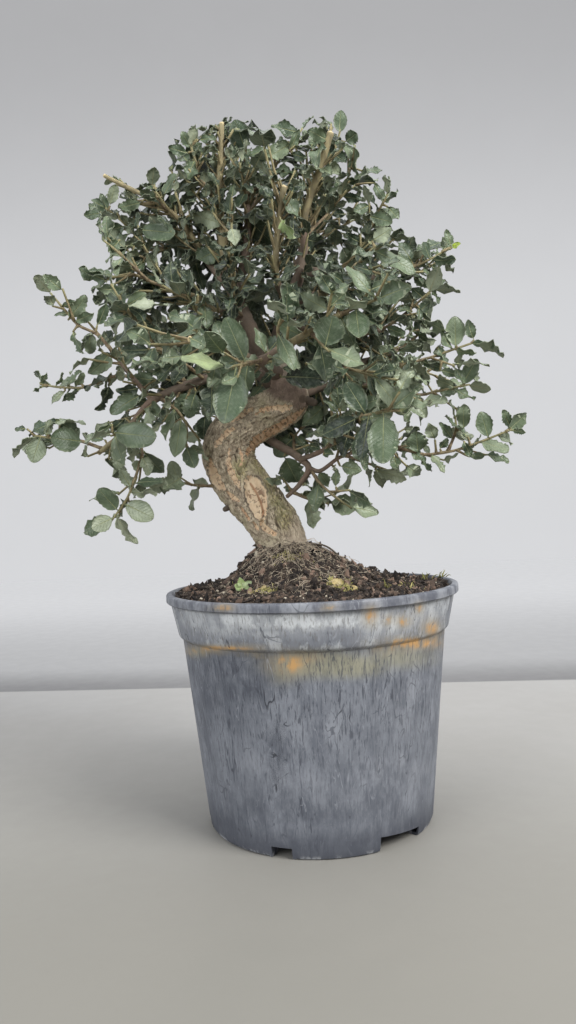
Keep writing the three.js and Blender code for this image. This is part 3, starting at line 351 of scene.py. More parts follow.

# Leaves seen in the photograph: root, tip and width in pixels, then a tone from 0, dark, to 1, light,
# which paints the light and shade on the leaf as well as its colour.
# Each grows from the wood nearest to its root in the view. Where a number stands before the rows,
# it says how far forward the leaves are.
ON_WOOD = None
SEEN_LEAVES = {
    ON_WOOD: [
        (197, 139, 190, 125, 8, 0.45), (193, 129, 208, 129, 4, 0.5), (193, 149, 181, 132, 11, 0.5),
        (188, 153, 168, 148, 11, 0.4), (199, 140, 216, 138, 8, 0.45), (197, 160, 186, 179, 13, 0.5),
        (163, 197, 176, 174, 7, 0.45), (158, 199, 140, 189, 10, 0.6), (163, 203, 151, 193, 5, 0.15),
        (169, 210, 181, 191, 7, 0.55), (197, 194, 182, 187, 10, 0.5), (110, 206, 114, 184, 11, 0.7),
        (105, 208, 91, 200, 8, 0.4), (110, 211, 84, 216, 10, 0.4), (125, 228, 99, 233, 9, 0.5),
        (120, 240, 108, 252, 11, 0.5), (129, 234, 115, 243, 7, 0.45), (127, 246, 115, 251, 5, 0.1),
        (134, 246, 104, 259, 7, 0.6), (120, 258, 114, 273, 11, 0.6), (108, 280, 78, 271, 6, 0.5),
        (113, 291, 97, 290, 9, 0.6), (142, 202, 119, 209, 12, 0.55), (143, 262, 112, 279, 8, 0.7),
        (148, 261, 128, 272, 9, 0.5), (125, 306, 168, 303, 16, 0.75), (127, 305, 146, 294, 13, 0.55),
        (204, 303, 206, 328, 15, 0.55), (195, 262, 203, 289, 12, 0.5), (222, 246, 197, 262, 22, 0.4),
        (192, 214, 223, 223, 13, 0.7), (229, 227, 237, 244, 13, 0.75), (68, 320, 86, 296, 14, 0.6),
        (72, 322, 93, 314, 10, 0.5), (60, 309, 75, 301, 8, 0.4), (97, 326, 108, 304, 10, 0.4),
        (122, 317, 110, 314, 6, 0.2), (73, 332, 80, 355, 6, 0.45), (90, 331, 89, 354, 14, 0.65),
        (112, 350, 93, 376, 17, 0.6), (55, 385, 64, 374, 4, 0.5), (66, 388, 78, 369, 4, 0.5),
        (75, 387, 84, 374, 5, 0.6), (40, 384, 47, 374, 3, 0.5), (42, 386, 34, 392, 3, 0.4),
        (65, 391, 50, 402, 7, 0.7), (80, 391, 63, 402, 4, 0.4), (110, 383, 100, 411, 11, 0.1),
        (112, 377, 83, 385, 4, 0.05), (140, 388, 117, 394, 8, 0.05), (142, 394, 110, 413, 17, 0.55),
        (125, 418, 111, 432, 10, 0.25), (112, 424, 98, 434, 7, 0.5), (60, 421, 26, 430, 13, 0.3),
        (27, 429, 15, 428, 6, 0.2), (50, 424, 84, 416, 9, 0.7), (45, 434, 52, 421, 8, 0.75),
        (105, 440, 86, 434, 9, 0.6), (122, 443, 113, 468, 17, 0.7), (141, 458, 152, 471, 14, 0.7),
        (141, 460, 133, 469, 9, 0.7), (130, 488, 119, 469, 11, 0.75), (131, 493, 157, 490, 9, 0.75),
        (205, 415, 203, 440, 19, 0.25), (190, 390, 172, 423, 18, 0.4), (196, 392, 187, 418, 18, 0.45),
        (168, 429, 188, 432, 13, 0.7), (207, 378, 182, 383, 11, 0.6), (183, 371, 160, 388, 10, 0.05),
        (155, 380, 130, 378, 15, 0.5), (150, 350, 122, 352, 12, 0.15), (299, 132, 271, 127, 14, 0.35),
        (290, 150, 299, 129, 7, 0.5), (327, 139, 308, 130, 15, 0.5), (345, 142, 357, 133, 14, 0.4),
        (355, 145, 356, 177, 12, 0.55), (331, 152, 346, 163, 13, 0.3), (322, 143, 315, 165, 12, 0.45),
        (327, 160, 340, 176, 11, 0.7), (320, 168, 299, 172, 10, 0.65), (321, 169, 332, 170, 8, 0.6),
        (270, 149, 250, 156, 9, 0.5), (292, 143, 268, 158, 16, 0.6), (292, 154, 306, 158, 10, 0.3),
        (272, 170, 297, 175, 12, 0.45), (362, 171, 382, 170, 6, 0.4), (350, 180, 378, 182, 7, 0.35),
        (374, 183, 383, 200, 8, 0.5), (383, 199, 399, 192, 6, 0.4), (341, 197, 361, 198, 8, 0.3),
        (371, 205, 355, 212, 11, 0.5), (346, 214, 332, 214, 9, 0.1), (333, 220, 351, 221, 3, 0.05),
        (388, 207, 398, 218, 11, 0.6), (372, 216, 392, 222, 14, 0.5), (372, 241, 392, 229, 16, 0.7),
        (412, 262, 400, 240, 15, 0.35), (336, 247, 337, 229, 14, 0.65), (362, 243, 345, 236, 10, 0.25),
        (342, 246, 352, 267, 14, 0.6), (249, 218, 272, 247, 24, 0.4), (284, 196, 299, 215, 15, 0.5),
        (318, 205, 322, 230, 20, 0.4), (262, 197, 240, 208, 11, 0.75), (300, 236, 325, 249, 18, 0.1),
        (451, 247, 447, 229, 6, 0.55), (452, 248, 460, 243, 6, 1.0), (430, 258, 455, 263, 7, 0.35),
        (432, 268, 441, 271, 4, 0.4), (411, 277, 431, 286, 10, 0.55), (432, 287, 444, 279, 7, 0.45),
        (424, 297, 412, 289, 12, 0.3), (433, 291, 441, 301, 3, 0.5), (412, 312, 398, 307, 7, 0.45),
        (419, 308, 420, 320, 6, 0.4), (412, 315, 431, 340, 6, 0.3), (413, 330, 430, 344, 8, 0.5),
        (452, 334, 425, 323, 4, 0.6), (450, 348, 441, 331, 9, 0.55), (474, 340, 466, 321, 11, 0.55),
        (470, 341, 483, 343, 7, 0.55), (456, 351, 475, 356, 8, 0.6), (437, 347, 450, 365, 8, 0.4),
        (421, 357, 440, 371, 5, 0.35), (440, 370, 458, 375, 9, 0.55), (455, 367, 464, 384, 8, 0.45),
        (456, 390, 437, 378, 11, 0.65), (453, 389, 473, 402, 9, 0.55), (464, 430, 462, 404, 14, 0.6),
        (468, 437, 444, 418, 6, 0.4), (511, 428, 502, 410, 8, 0.45), (512, 430, 526, 432, 4, 0.5),
        (418, 455, 416, 431, 21, 0.5), (435, 440, 428, 423, 13, 0.7), (452, 440, 440, 422, 10, 0.45),
        (410, 453, 425, 462, 10, 0.5), (421, 460, 431, 472, 6, 0.5), (464, 441, 471, 459, 8, 0.5),
        (440, 449, 447, 438, 8, 0.4), (375, 470, 407, 478, 10, 0.75), (340, 466, 362, 470, 14, 0.6),
        (324, 406, 303, 427, 17, 0.55), (290, 433, 284, 448, 10, 0.5), (293, 433, 307, 450, 9, 0.55),
        (284, 456, 298, 484, 24, 0.5), (282, 478, 270, 484, 8, 0.65), (322, 449, 317, 438, 6, 0.15),
        (318, 471, 330, 487, 11, 0.6), (336, 487, 335, 470, 9, 0.6),
        (262, 386, 252, 398, 11, 0.5), (385, 325, 405, 334, 10, 0.5), (398, 352, 422, 346, 10, 0.55),
        (400, 411, 432, 400, 9, 0.6), (345, 366, 375, 378, 12, 0.75),
    ],
    -30: [(281, 377, 327, 375, 22, 0.02), (300, 371, 283, 369, 9, 0.3)],
    -45: [
        (280, 219, 295, 239, 11, 0.97), (232, 376, 261, 373, 15, 0.4), (268, 352, 282, 336, 17, 0.2),
        (297, 362, 298, 349, 6, 0.1), (306, 363, 325, 368, 11, 0.6), (330, 310, 298, 297, 18, 0.65),
        (398, 413, 400, 382, 14, 0.8), (351, 428, 340, 453, 18, 0.03), (362, 412, 348, 382, 12, 0.6),
    ],
    -80: [
        (228, 352, 214, 322, 18, 0.4), (240, 352, 213, 350, 13, 0.75), (243, 347, 256, 371, 12, 0.65),
        (266, 355, 256, 327, 9, 0.55), (308, 338, 273, 323, 13, 0.55), (362, 427, 362, 461, 20, 0.4),
    ],
    -105: [
        (318, 331, 334, 357, 22, 0.42), (340, 313, 352, 345, 26, 0.5), (370, 301, 352, 268, 15, 0.55),
        (268, 356, 300, 366, 14, 0.6),
    ],
}
SEEN_LEAST_WIDTH = 0.45
SEEN_FOLD = (0.15, 0.5)
SEEN_CURL = (-0.06, 0.24)
SEEN_WAVE = (0.05, 0.14)
SEEN_TURN = (-0.65, 0.65)
SEEN_SWEEP = (-0.1, 0.1)
SEEN_TILT = 0.4
SEEN_WIDTH_SHARE = 1.04
SEEN_TWIG_FROM = 2.5
SEEN_TWIG_RISE = 0.08
SEEN_BEHIND_COST = 0.04
SEEN_APART_COST = 0.3
SEEN_SEED = 3100
SEEN_LEAF_SEED = 17
SEEN_TWIG_SEED = 900
SEEN_SHIFTS = (-4, 5, -9, 11, -15, 17)

# Twigs
TWIG_ROOT_RADIUS = 1.5
TWIG_TIP_RADIUS = 0.8
SIDE_TWIG_RADIUS = 1.0

# The rule for side shoots and for leaves, with the steps between their seeds
SIDE_SHOOT = {
    "every": 60,
    "most": 2,
    "from": 0.3,
    "span": 0.55,
    "length": (13, 25),
    "lean": (0.75, 1.1),
    "outwards": 0.35,
    "upwards": 0.1,
}
LEAF = {
    "every": 6.5,
    "modelEvery": 8,
    "bareShare": 0.22,
    "bareSideShoot": 4,
    "endInset": 1.5,
    "length": (13.5, 21.5),
    "widthShare": (0.56, 0.7),
    "lowestHeight": 300,
    "highestHeight": 540,
    "growthByHeight": (1.3, 0.95),
    "lean": (0.85, 1.2),
    "endLean": (0.45, 0.8),
    "twist": (0, 1.2),
    "outwards": 0.2,
    "fold": (0.1, 0.4),
    "curl": (0.04, 0.24),
    "wave": (0.03, 0.08),
    "faceOutwards": 0.7,
    "faceTilt": 0.45,
    "faceUpwards": 0.6,
    "faceForwards": 0.25,
}
SPRAY_SEED = 5000
PATH_SEED = 500
SIDE_SHOOT_SEED = 50
LEAF_SEED = 10
WAITING_SEED = 77
GOLDEN_ANGLE = 2.39996
TURNS = 6
CROWN_CENTRE = np.array([-22.0, 0.0, 392.0])
BLADE = 0.7

# The leaf's shape
STALK_SHARE = 0.1
STALK_WIDTH = 0.06
BLADE_ROUNDNESS = 0.6
RIPPLES = 11
OTHER_SIDE_PHASE = 1.9

# How far the teeth stand out of the outline, from the smoothest leaf to the most toothed
PLACED_TEETH = (0.02, 0.06)
MODEL_TEETH = (0.05, 0.15)
TAPER = 0.45
SEEN_TEETH = (0.05, 0.14)
FILL_TEETH = (0.03, 0.13)


# Vectors and random numbers

def vector(values):
    return np.array(values, dtype=float)


def unit(direction):
    return direction / np.linalg.norm(direction)


def square_to(axis, direction):
    return unit(direction - axis * np.dot(direction, axis))


def around_axis(axis, angle):
    reference = vector([0, 0, 1]) if abs(axis[2]) < 0.9 else vector([1, 0, 0])
    first = square_to(axis, reference)
    return first * math.cos(angle) + np.cross(axis, first) * math.sin(angle)


def lerp(low, high, part):
    return low + (high - low) * part


def clamp(value, low=0.0, high=1.0):
    return max(low, min(high, value))


def smooth_step(low, high, values):
    part = np.clip((values - low) / (high - low), 0, 1)
    return part * part * (3 - 2 * part)


# A repeatable stream of numbers from 0 to 1
def random_stream(seed):
    state = ((seed + 1) * 2654435761) & 0xFFFFFFFF

    def draw():
        nonlocal state
        state = (state * 1664525 + 1013904223) & 0xFFFFFFFF
        return state / 2 ** 32

    return draw


def between(limits, draw):
    return limits[0] + (limits[1] - limits[0]) * draw()


# The photograph's camera

def camera_axes():
    cos_yaw, sin_yaw = math.cos(CAMERA_YAW), math.sin(CAMERA_YAW)
    cos_pitch, sin_pitch = math.cos(CAMERA_PITCH), math.sin(CAMERA_PITCH)
    forward = vector([sin_yaw * cos_pitch, cos_yaw * cos_pitch, -sin_pitch])
    right = vector([cos_yaw, -sin_yaw, 0])
    up = np.cross(right, forward)
    cos_roll, sin_roll = math.cos(CAMERA_ROLL), math.sin(CAMERA_ROLL)
    return cos_roll * right + sin_roll * up, -sin_roll * right + cos_roll * up, forward


RIGHT, UP, FORWARD = camera_axes()


def to_pixels(points):
    offsets = points - CAMERA_PLACE
    depth = offsets @ FORWARD
    across = IMAGE_WIDTH / 2 + FOCAL_PIXELS * (offsets @ RIGHT) / depth
    down = IMAGE_HEIGHT / 2 - FOCAL_PIXELS * (offsets @ UP) / depth
    return np.stack([across, down], axis=1)


# The point that a pixel shows, at a given place forward
def from_pixel(across, down, forward):
    ray = (FORWARD + RIGHT * (across - IMAGE_WIDTH / 2) / FOCAL_PIXELS
           - UP * (down - IMAGE_HEIGHT / 2) / FOCAL_PIXELS)
    return CAMERA_PLACE + ray * (forward - CAMERA_PLACE[1]) / ray[1]


def make_camera():
    data = bpy.data.cameras.new("camera")
    data.sensor_width = SENSOR
    data.lens = FOCAL_PIXELS * SENSOR / IMAGE_HEIGHT
    data.clip_start, data.clip_end = VIEW_LIMITS
    camera = bpy.data.objects.new("camera", data)
    bpy.context.collection.objects.link(camera)
    columns = np.stack([RIGHT, UP, -FORWARD, CAMERA_PLACE / METRE], axis=1)
    camera.matrix_world = Matrix([*columns.tolist(), [0, 0, 0, 1]])
    bpy.context.scene.camera = camera


# Meshes. A builder collects points, faces and per-point measures, then makes one object.

class MeshBuilder:
    def __init__(self, measures):
        self.points = []
        self.faces = []
        self.smooth = []
        self.materials = []
        self.measures = {name: [] for name in measures}
        self.count = 0

    def add(self, points, faces, material=0, smooth=True, **measures):
        offset = self.count
        self.points.append(vector(points))
        self.count += len(points)
        self.faces.extend([[corner + offset for corner in face] for face in faces])
        self.smooth.extend([smooth] * len(faces) if isinstance(smooth, bool) else smooth)
        self.materials.extend([material] * len(faces))
        for name, rows in self.measures.items():
            value = measures.get(name, 0.0)
            rows.append(np.full(len(points), value) if np.isscalar(value) else vector(value))

    def make(self, name, materials):
        points = np.concatenate(self.points) / METRE
        mesh = bpy.data.meshes.new(name)
        mesh.from_pydata(points.tolist(), [], self.faces)
        mesh.polygons.foreach_set("use_smooth", self.smooth)
        mesh.polygons.foreach_set("material_index", self.materials)
        for measure, rows in self.measures.items():
            write_measure(mesh, measure, np.concatenate(rows))
        for material in materials:
            mesh.materials.append(material)
        mesh.update()
        piece = bpy.data.objects.new(name, mesh)
        bpy.context.collection.objects.link(piece)
        return piece


def write_measure(mesh, name, values):
    attribute = mesh.attributes.new(name, "FLOAT", "POINT")
    attribute.data.foreach_set("value", values.astype(np.float32))


def mesh_points(mesh):
    points = np.empty(len(mesh.vertices) * 3)
    mesh.vertices.foreach_get("co", points)
    return points.reshape(-1, 3) * METRE


def finish_piece(piece, slot, *nodes):
    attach(piece, BODY)
    if nodes:
        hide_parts(*nodes)


# Faces between the rings of a tube or the rows of a sheet
def grid_faces(rows, columns, closed):
    faces = []
    for row in range(rows - 1):
        for column in range(columns if closed else columns - 1):
            following = (column + 1) % columns
            start = row * columns
            faces.append([start + column, start + following,
                          start + columns + following, start + columns + column])
    return faces


# Faces of a tube whose two end points come after its rings
def tube_faces(rings, sides):
    faces = grid_faces(rings, sides, True)
    first, last = rings * sides, (rings - 1) * sides
    for corner in range(sides):
        following = (corner + 1) % sides
        faces.append([following, corner, first])
        faces.append([last + corner, last + following, first + 1])
    return faces


def ring_angles(sides):
    return np.arange(sides) * FULL_TURN / sides


# A level ring of points
def ring_points(radius, height, sides):
    return [[radius * math.cos(angle), radius * math.sin(angle), height] for angle in ring_angles(sides)]


# Distances along a curve, from its start to each of its points
def run_lengths(centres):
    return np.concatenate([[0], np.cumsum(np.linalg.norm(np.diff(centres, axis=0), axis=1))])


# A curve through the stations, at places from 0 to 1
def curve_points(stations, places):
    knots = np.array([station[:3] for station in stations], dtype=float)
    knots = np.vstack([2 * knots[0] - knots[1], knots, 2 * knots[-1] - knots[-2]])
    found = np.zeros((len(places), 3))
    for order, place in enumerate(places):
        reach = place * (len(stations) - 1)
        index = min(int(reach), len(stations) - 2)
        part = reach - index
        before, start, end, after = knots[index:index + 4]
        gaps = [np.linalg.norm(end_knot - start_knot) ** 0.5
                for start_knot, end_knot in ((before, start), (start, end), (end, after))]
        chord = (end - start) / gaps[1]
        leave = ((start - before) / gaps[0] - (end - before) / (gaps[0] + gaps[1]) + chord) * gaps[1]
        arrive = (chord - (after - start) / (gaps[1] + gaps[2]) + (after - end) / gaps[2]) * gaps[1]
        cubic = 2 * start - 2 * end + leave + arrive
        square = -3 * start + 3 * end - 2 * leave - arrive
        found[order] = start + leave * part + square * part ** 2 + cubic * part ** 3
    return found


def tangents(points):
    steps = np.gradient(points, axis=0)
    return steps / np.linalg.norm(steps, axis=1, keepdims=True)


# Side and front directions carried along a curve. A side shorter than the least one is replaced.
LEAST_SIDE = 0.2


def carried_frames(axes):
    sides = np.zeros_like(axes)
    side = vector([1, 0, 0])
    for index, axis in enumerate(axes):
        side = side - axis * np.dot(side, axis)
        if np.linalg.norm(side) < LEAST_SIDE:
            side = vector([0, 1, 0]) - axis * axis[1]
        side = unit(side)
        sides[index] = side
    return sides, np.cross(axes, sides)


def radii_at(stations, places):
    radii = [station[3] for station in stations]
    return np.interp(places * (len(stations) - 1), np.arange(len(stations)), radii)


# How far the end points of a tube stand out, as a share of its radius there
ROOT_BULGE = 0.3
TIP_BULGE = 0.5


# A tube with rounded ends. The radius may be given for each ring and each point round it.
def add_tube(builder, centres, radii, sides, material=0, **measures):
    axes = tangents(centres)
    side, front = carried_frames(axes)
    angles = ring_angles(sides)
    radii = vector(radii)
    if radii.ndim == 1:
        radii = np.repeat(radii[:, None], sides, axis=1)
    points = (centres[:, None, :]
              + side[:, None, :] * (radii * np.cos(angles))[:, :, None]
              + front[:, None, :] * (radii * np.sin(angles))[:, :, None]).reshape(-1, 3)
    start = centres[0] - axes[0] * radii[0].mean() * ROOT_BULGE
    end = centres[-1] + axes[-1] * radii[-1].mean() * TIP_BULGE
    for name, value in measures.items():
        if not np.isscalar(value):
            measures[name] = np.concatenate([np.repeat(value, sides), [value[0], value[-1]]])
    builder.add(np.vstack([points, start, end]), tube_faces(len(centres), sides), material, **measures)


# Materials. A recipe is a set of shader nodes joined by name.

SOCKET = bpy.types.NodeSocket


class Recipe:
    def __init__(self, name):
        self.material = bpy.data.materials.new(name)
        self.material.use_nodes = True
        self.nodes = self.material.node_tree.nodes
        self.links = self.material.node_tree.links
        self.shader = self.nodes["Principled BSDF"]
        self.place = self.nodes.new("ShaderNodeTexCoord").outputs["Object"]

    def node(self, kind, **inputs):
        made = self.nodes.new(kind)
        for name, value in inputs.items():
            self.put(made, name, value)
        return made

    # An input is named, with _ for a space, or numbered after a _
    def put(self, node, name, value):
        key = int(name[1:]) if name.startswith("_") else name.replace("_", " ")
        socket = node.inputs[key]
        if isinstance(value, SOCKET):
            self.links.new(value, socket)
        else:
            socket.default_value = value

    def math(self, operation, first, second=0.0, third=None, hold=False):
        made = self.nodes.new("ShaderNodeMath")
        made.operation = operation
        made.use_clamp = hold
        self.put(made, "_0", first)
        self.put(made, "_1", second)
        if third is not None:
            self.put(made, "_2", third)
        return made.outputs[0]

    def times(self, first, second, hold=False):
        return self.math("MULTIPLY", first, second, hold=hold)

    def measure(self, name):
        made = self.nodes.new("ShaderNodeAttribute")
        made.attribute_name = name
        return made.outputs["Fac"]

    def scaled(self, factors):
        made = self.node("ShaderNodeVectorMath", _0=self.place, _1=factors)
        made.operation = "MULTIPLY"
        return made.outputs[0]

    def noise(self, scale, place=None, detail=4.0, roughness=0.55, distortion=0.0):
        made = self.node("ShaderNodeTexNoise", Scale=scale, Detail=detail, Roughness=roughness,
                         Distortion=distortion, Vector=place or self.place)
        return made.outputs["Fac"]

    def cells(self, scale, place=None):
        made = self.node("ShaderNodeTexVoronoi", Scale=scale, Vector=place or self.place)
        made.feature = "DISTANCE_TO_EDGE"
        return made.outputs["Distance"]

    def span(self, value, low, high, to_low=0.0, to_high=1.0):
        made = self.node("ShaderNodeMapRange", Value=value, From_Min=low, From_Max=high,
                         To_Min=to_low, To_Max=to_high)
        made.interpolation_type = "SMOOTHSTEP"
        return made.outputs["Result"]

    def mix(self, part, first, second, blend="MIX"):
        made = self.nodes.new("ShaderNodeMix")
        made.data_type = "RGBA"
        made.blend_type = blend
        made.clamp_factor = True
        self.put(made, "_0", part)
        for name, value in (("_6", first), ("_7", second)):
            self.put(made, name, value if isinstance(value, SOCKET) else colour(value))
        return made.outputs[2]

    # Thin winding lines where a noise crosses its middle
    def lines(self, scale, factors, width, distortion=0.0):
        value = self.noise(scale, self.scaled(factors), detail=2.5, roughness=0.5, distortion=distortion)
        gap = self.math("ABSOLUTE", self.math("SUBTRACT", value, 0.5))
        return self.span(gap, width, width * 0.35)

    def bump(self, height, strength, distance):
        made = self.node("ShaderNodeBump", Height=height, Strength=strength, Distance=distance)
        previous = self.shader.inputs["Normal"].links
        if previous:
            self.put(made, "Normal", previous[0].from_socket)
        self.put(self.shader, "Normal", made.outputs["Normal"])

    def set(self, name, value):
        is_tone = name.endswith("Color") and not isinstance(value, SOCKET)
        self.put(self.shader, name, colour(value) if is_tone else value)


# A colour given as on a screen, from 0 to 255, for the shader
def colour(values):
    linear = []
    for value in values:
        part = value / 255
        linear.append(part / 12.92 if part <= 0.04045 else ((part + 0.055) / 1.055) ** 2.4)
    return (*linear, 1.0)


# Stage

# The table's tone ends at its back edge. Behind it the floor takes the tone of the backdrop, which
# glows softly, and the backdrop stands far enough away for a view from behind.
def floor_material():
    floor = Recipe("floor_paint")
    mix, span, times = floor.mix, floor.span, floor.times
    cloud = floor.noise(3.0, detail=3.0)
    split = floor.node("ShaderNodeSeparateXYZ", Vector=floor.place).outputs
    away = floor.math("ADD", times(split["X"], EDGE_SLANT), split["Y"])
    tone = mix(span(away, -0.3, 0.45), (134, 132, 125), (180, 179, 177))
    tone = mix(span(cloud, 0.3, 0.7, 0.0, 0.25), tone, (150, 146, 138))
    behind = span(away, TABLE_EDGE, TABLE_EDGE + 0.006)
    floor.set("Base Color", mix(behind, tone, BACKDROP_BASE))
    # Painted light: behind the table the floor glows like the backdrop, dim at the table's edge as
    # painted shade and brighter further back
    glow = mix(span(away, TABLE_EDGE, 0.6), (84, 82, 81), (188, 189, 190))
    glow = mix(span(away, 0.58, 1.3), glow, (206, 207, 209))
    floor.set("Emission Color", glow)
    strength = span(away, TABLE_EDGE, 1.6, 0.45, 0.74)
    floor.set("Emission Strength", times(behind, strength))
    floor.set("Roughness", span(floor.noise(40.0), 0.3, 0.7, 0.5, 0.6))
    return floor.material


def wall_material():
    wall = Recipe("wall_paint")
    mix, span = wall.mix, wall.span
    height = wall.node("ShaderNodeSeparateXYZ", Vector=wall.place).outputs["Z"]
    # Painted light: the backdrop glows, and the glow dims towards its top as painted shade
    glow = mix(span(height, 0.8, 2.2), (201, 202, 204), (160, 160, 161))
    grain = wall.noise(6.0, detail=3.0)
    wall.set("Base Color", mix(span(grain, 0.3, 0.7), BACKDROP_BASE, (124, 124, 125)))
    wall.set("Emission Color", glow)
    wall.set("Emission Strength", 0.85)
    wall.set("Roughness", span(grain, 0.3, 0.7, 0.8, 0.95))
    return wall.material


# A flat sheet across the stage, between two lines given by their place forward and their height
def stage_sheet(name, start, end, material):
    left, right = -STAGE_HALF_WIDTH, STAGE_HALF_WIDTH
    corners = vector([[left, *start], [right, *start], [right, *end], [left, *end]]) * METRE
    builder = MeshBuilder([])
    builder.add(corners, [[0, 1, 2, 3]], smooth=False)
    return builder.make(name, [material])


def make_stage():
    floor = stage_sheet("floor", (STAGE_FRONT, 0), (WALL_DISTANCE, 0), floor_material())
    wall = stage_sheet("wall", (WALL_DISTANCE, 0), (WALL_DISTANCE, STAGE_TOP), wall_material())


def add_lamp(name, place, height, size, power, tint):
    data = bpy.data.lights.new(name, "AREA")
    data.shape = "DISK"
    data.size = size
    data.energy = power
    data.color = tint
    lamp = bpy.data.objects.new(name, data)
    bpy.context.collection.objects.link(lamp)
    lamp.location = place
    lamp.rotation_mode = "QUATERNION"
    lamp.rotation_quaternion = (Vector((0, 0, height)) - Vector(place)).to_track_quat("-Z", "Y")


def make_lights():
    for name, lamp in LAMPS.items():
        add_lamp(name, *lamp)
    world = bpy.data.worlds.new("studio")
    bpy.context.scene.world = world
    world.use_nodes = True
    background = world.node_tree.nodes["Background"]
    background.inputs["Color"].default_value = SKY_TINT
    background.inputs["Strength"].default_value = SKY_STRENGTH


make_camera()
make_stage()
make_lights()
bpy.context.scene.view_settings.view_transform = "Standard"


# Pot

# Points between two others, from the first step to the end
def even_points(start, end, steps):
    return [[lerp(start[0], end[0], step / steps), lerp(start[1], end[1], step / steps)]
            for step in range(1, steps + 1)]


def pot_profile():
    collar_top = POT_HEIGHT - LIP_HEIGHT
    collar_bottom = POT_HEIGHT - COLLAR_HEIGHT
    wall_top = collar_bottom - STEP_HEIGHT
    collar_top_radius = RIM_RADIUS - LIP_OVERHANG
    collar_bottom_radius = collar_top_radius - COLLAR_TAPER
    wall_top_radius = collar_bottom_radius - COLLAR_STEP
    outside = [[0, 0], *([ring, 0] for ring in FLOOR_RINGS)]
    outside += [[BASE_RADIUS - 3, 0], [BASE_RADIUS - 0.9, 0.8], [BASE_RADIUS, 3]]
    outside += even_points([BASE_RADIUS, 3], [wall_top_radius, wall_top], WALL_STEPS)
    outside += [[collar_bottom_radius - 0.6, collar_bottom - 0.9], [collar_bottom_radius, collar_bottom]]
    outside += even_points([collar_bottom_radius, collar_bottom], [collar_top_radius, collar_top - 0.5],
                           COLLAR_STEPS)
    outside += [[RIM_RADIUS - 0.8, collar_top], [RIM_RADIUS, collar_top + 0.8],
                [RIM_RADIUS, collar_top + 3], [RIM_RADIUS, POT_HEIGHT - 1.3],
                [RIM_RADIUS - 0.5, POT_HEIGHT - 0.4], [RIM_RADIUS - 1.4, POT_HEIGHT]]
    inside = [[collar_top_radius - WALL + 0.7, POT_HEIGHT], [collar_top_radius - WALL, POT_HEIGHT - 0.7],
              [collar_bottom_radius - WALL, collar_bottom + 1], [wall_top_radius - WALL, wall_top + 1],
              [BASE_RADIUS - WALL, FLOOR], [FLOOR_RINGS[-1], FLOOR], [0, FLOOR]]
    return outside + inside


def box_points(width, depth, height, x, y, z, turn):
    corners = []
    for lift in (0, height):
        for dx, dy in ((-1, -1), (1, -1), (1, 1), (-1, 1)):
            px, py = x + dx * width / 2, y + dy * depth / 2
            corners.append([px * math.cos(turn) - py * math.sin(turn),
                            px * math.sin(turn) + py * math.cos(turn), z + lift])
    faces = [[3, 2, 1, 0], [4, 5, 6, 7], [0, 1, 5, 4], [1, 2, 6, 5], [2, 3, 7, 6], [3, 0, 4, 7]]
    return corners, faces


def boolean(piece, tool, operation):
    modifier = piece.modifiers.new("cut", "BOOLEAN")
    modifier.operation = operation
    modifier.solver = "EXACT"
    modifier.object = tool
    bpy.context.view_layer.update()
    graph = bpy.context.evaluated_depsgraph_get()
    mesh = bpy.data.meshes.new_from_object(piece.evaluated_get(graph))
    piece.modifiers.clear()
    old = piece.data
    piece.data = mesh
    bpy.data.meshes.remove(old)
    bpy.data.objects.remove(tool)


def lathe(profile, sides):
    points = []
    for radius, height in profile[1:-1]:
        points += ring_points(radius, height, sides)
    points += [[0, 0, profile[0][1]], [0, 0, profile[-1][1]]]
    return points, tube_faces(len(profile) - 2, sides)


def make_pot():
    builder = MeshBuilder([])
    points, faces = lathe(pot_profile(), POT_SIDES)
    builder.add(points, faces)
    pot = builder.make("pot_shell", [])
    turns = [FIRST_CHANNEL + index * FULL_TURN / CHANNELS for index in range(CHANNELS)]
    covers, channels, holes, bite = (MeshBuilder([]) for _ in range(4))
    for turn in turns:
        start, end = CHANNEL_START - WALL, BASE_RADIUS - COVER_INSET
        covers.add(*box_points(end - start, CHANNEL_WIDTH + 2 * WALL, CHANNEL_HEIGHT + WALL - COVER_LIFT,
                               (start + end) / 2, 0, COVER_LIFT, turn))
        channels.add(*box_points(RIM_RADIUS - CHANNEL_START, CHANNEL_WIDTH, CHANNEL_HEIGHT + CUT_BELOW,
                                 (CHANNEL_START + RIM_RADIUS) / 2, 0, -CUT_BELOW, turn))
        holes.add(*box_points(DRAIN_HOLE, DRAIN_HOLE, CHANNEL_HEIGHT, DRAIN_HOLE_RADIUS, 0,
                              CHANNEL_HEIGHT - DRAIN_HOLE_OVERLAP, turn))
    corners, faces = box_points(BITE_DEPTH, BROKEN_WIDTH, BITE_HEIGHT + CUT_BELOW,
                                BASE_RADIUS - BITE_INSET, BROKEN_SHIFT, -CUT_BELOW,
                                turns[BROKEN_CHANNEL])
    for corner, side in zip(corners[4:], (1, 1, -1, -1)):
        corner[2] += side * BITE_SLANT
    bite.add(corners, faces)
    boolean(pot, covers.make("covers", []), "UNION")
    for cut in (channels, holes, bite):
        boolean(pot, cut.make("cut", []), "DIFFERENCE")
    return pot


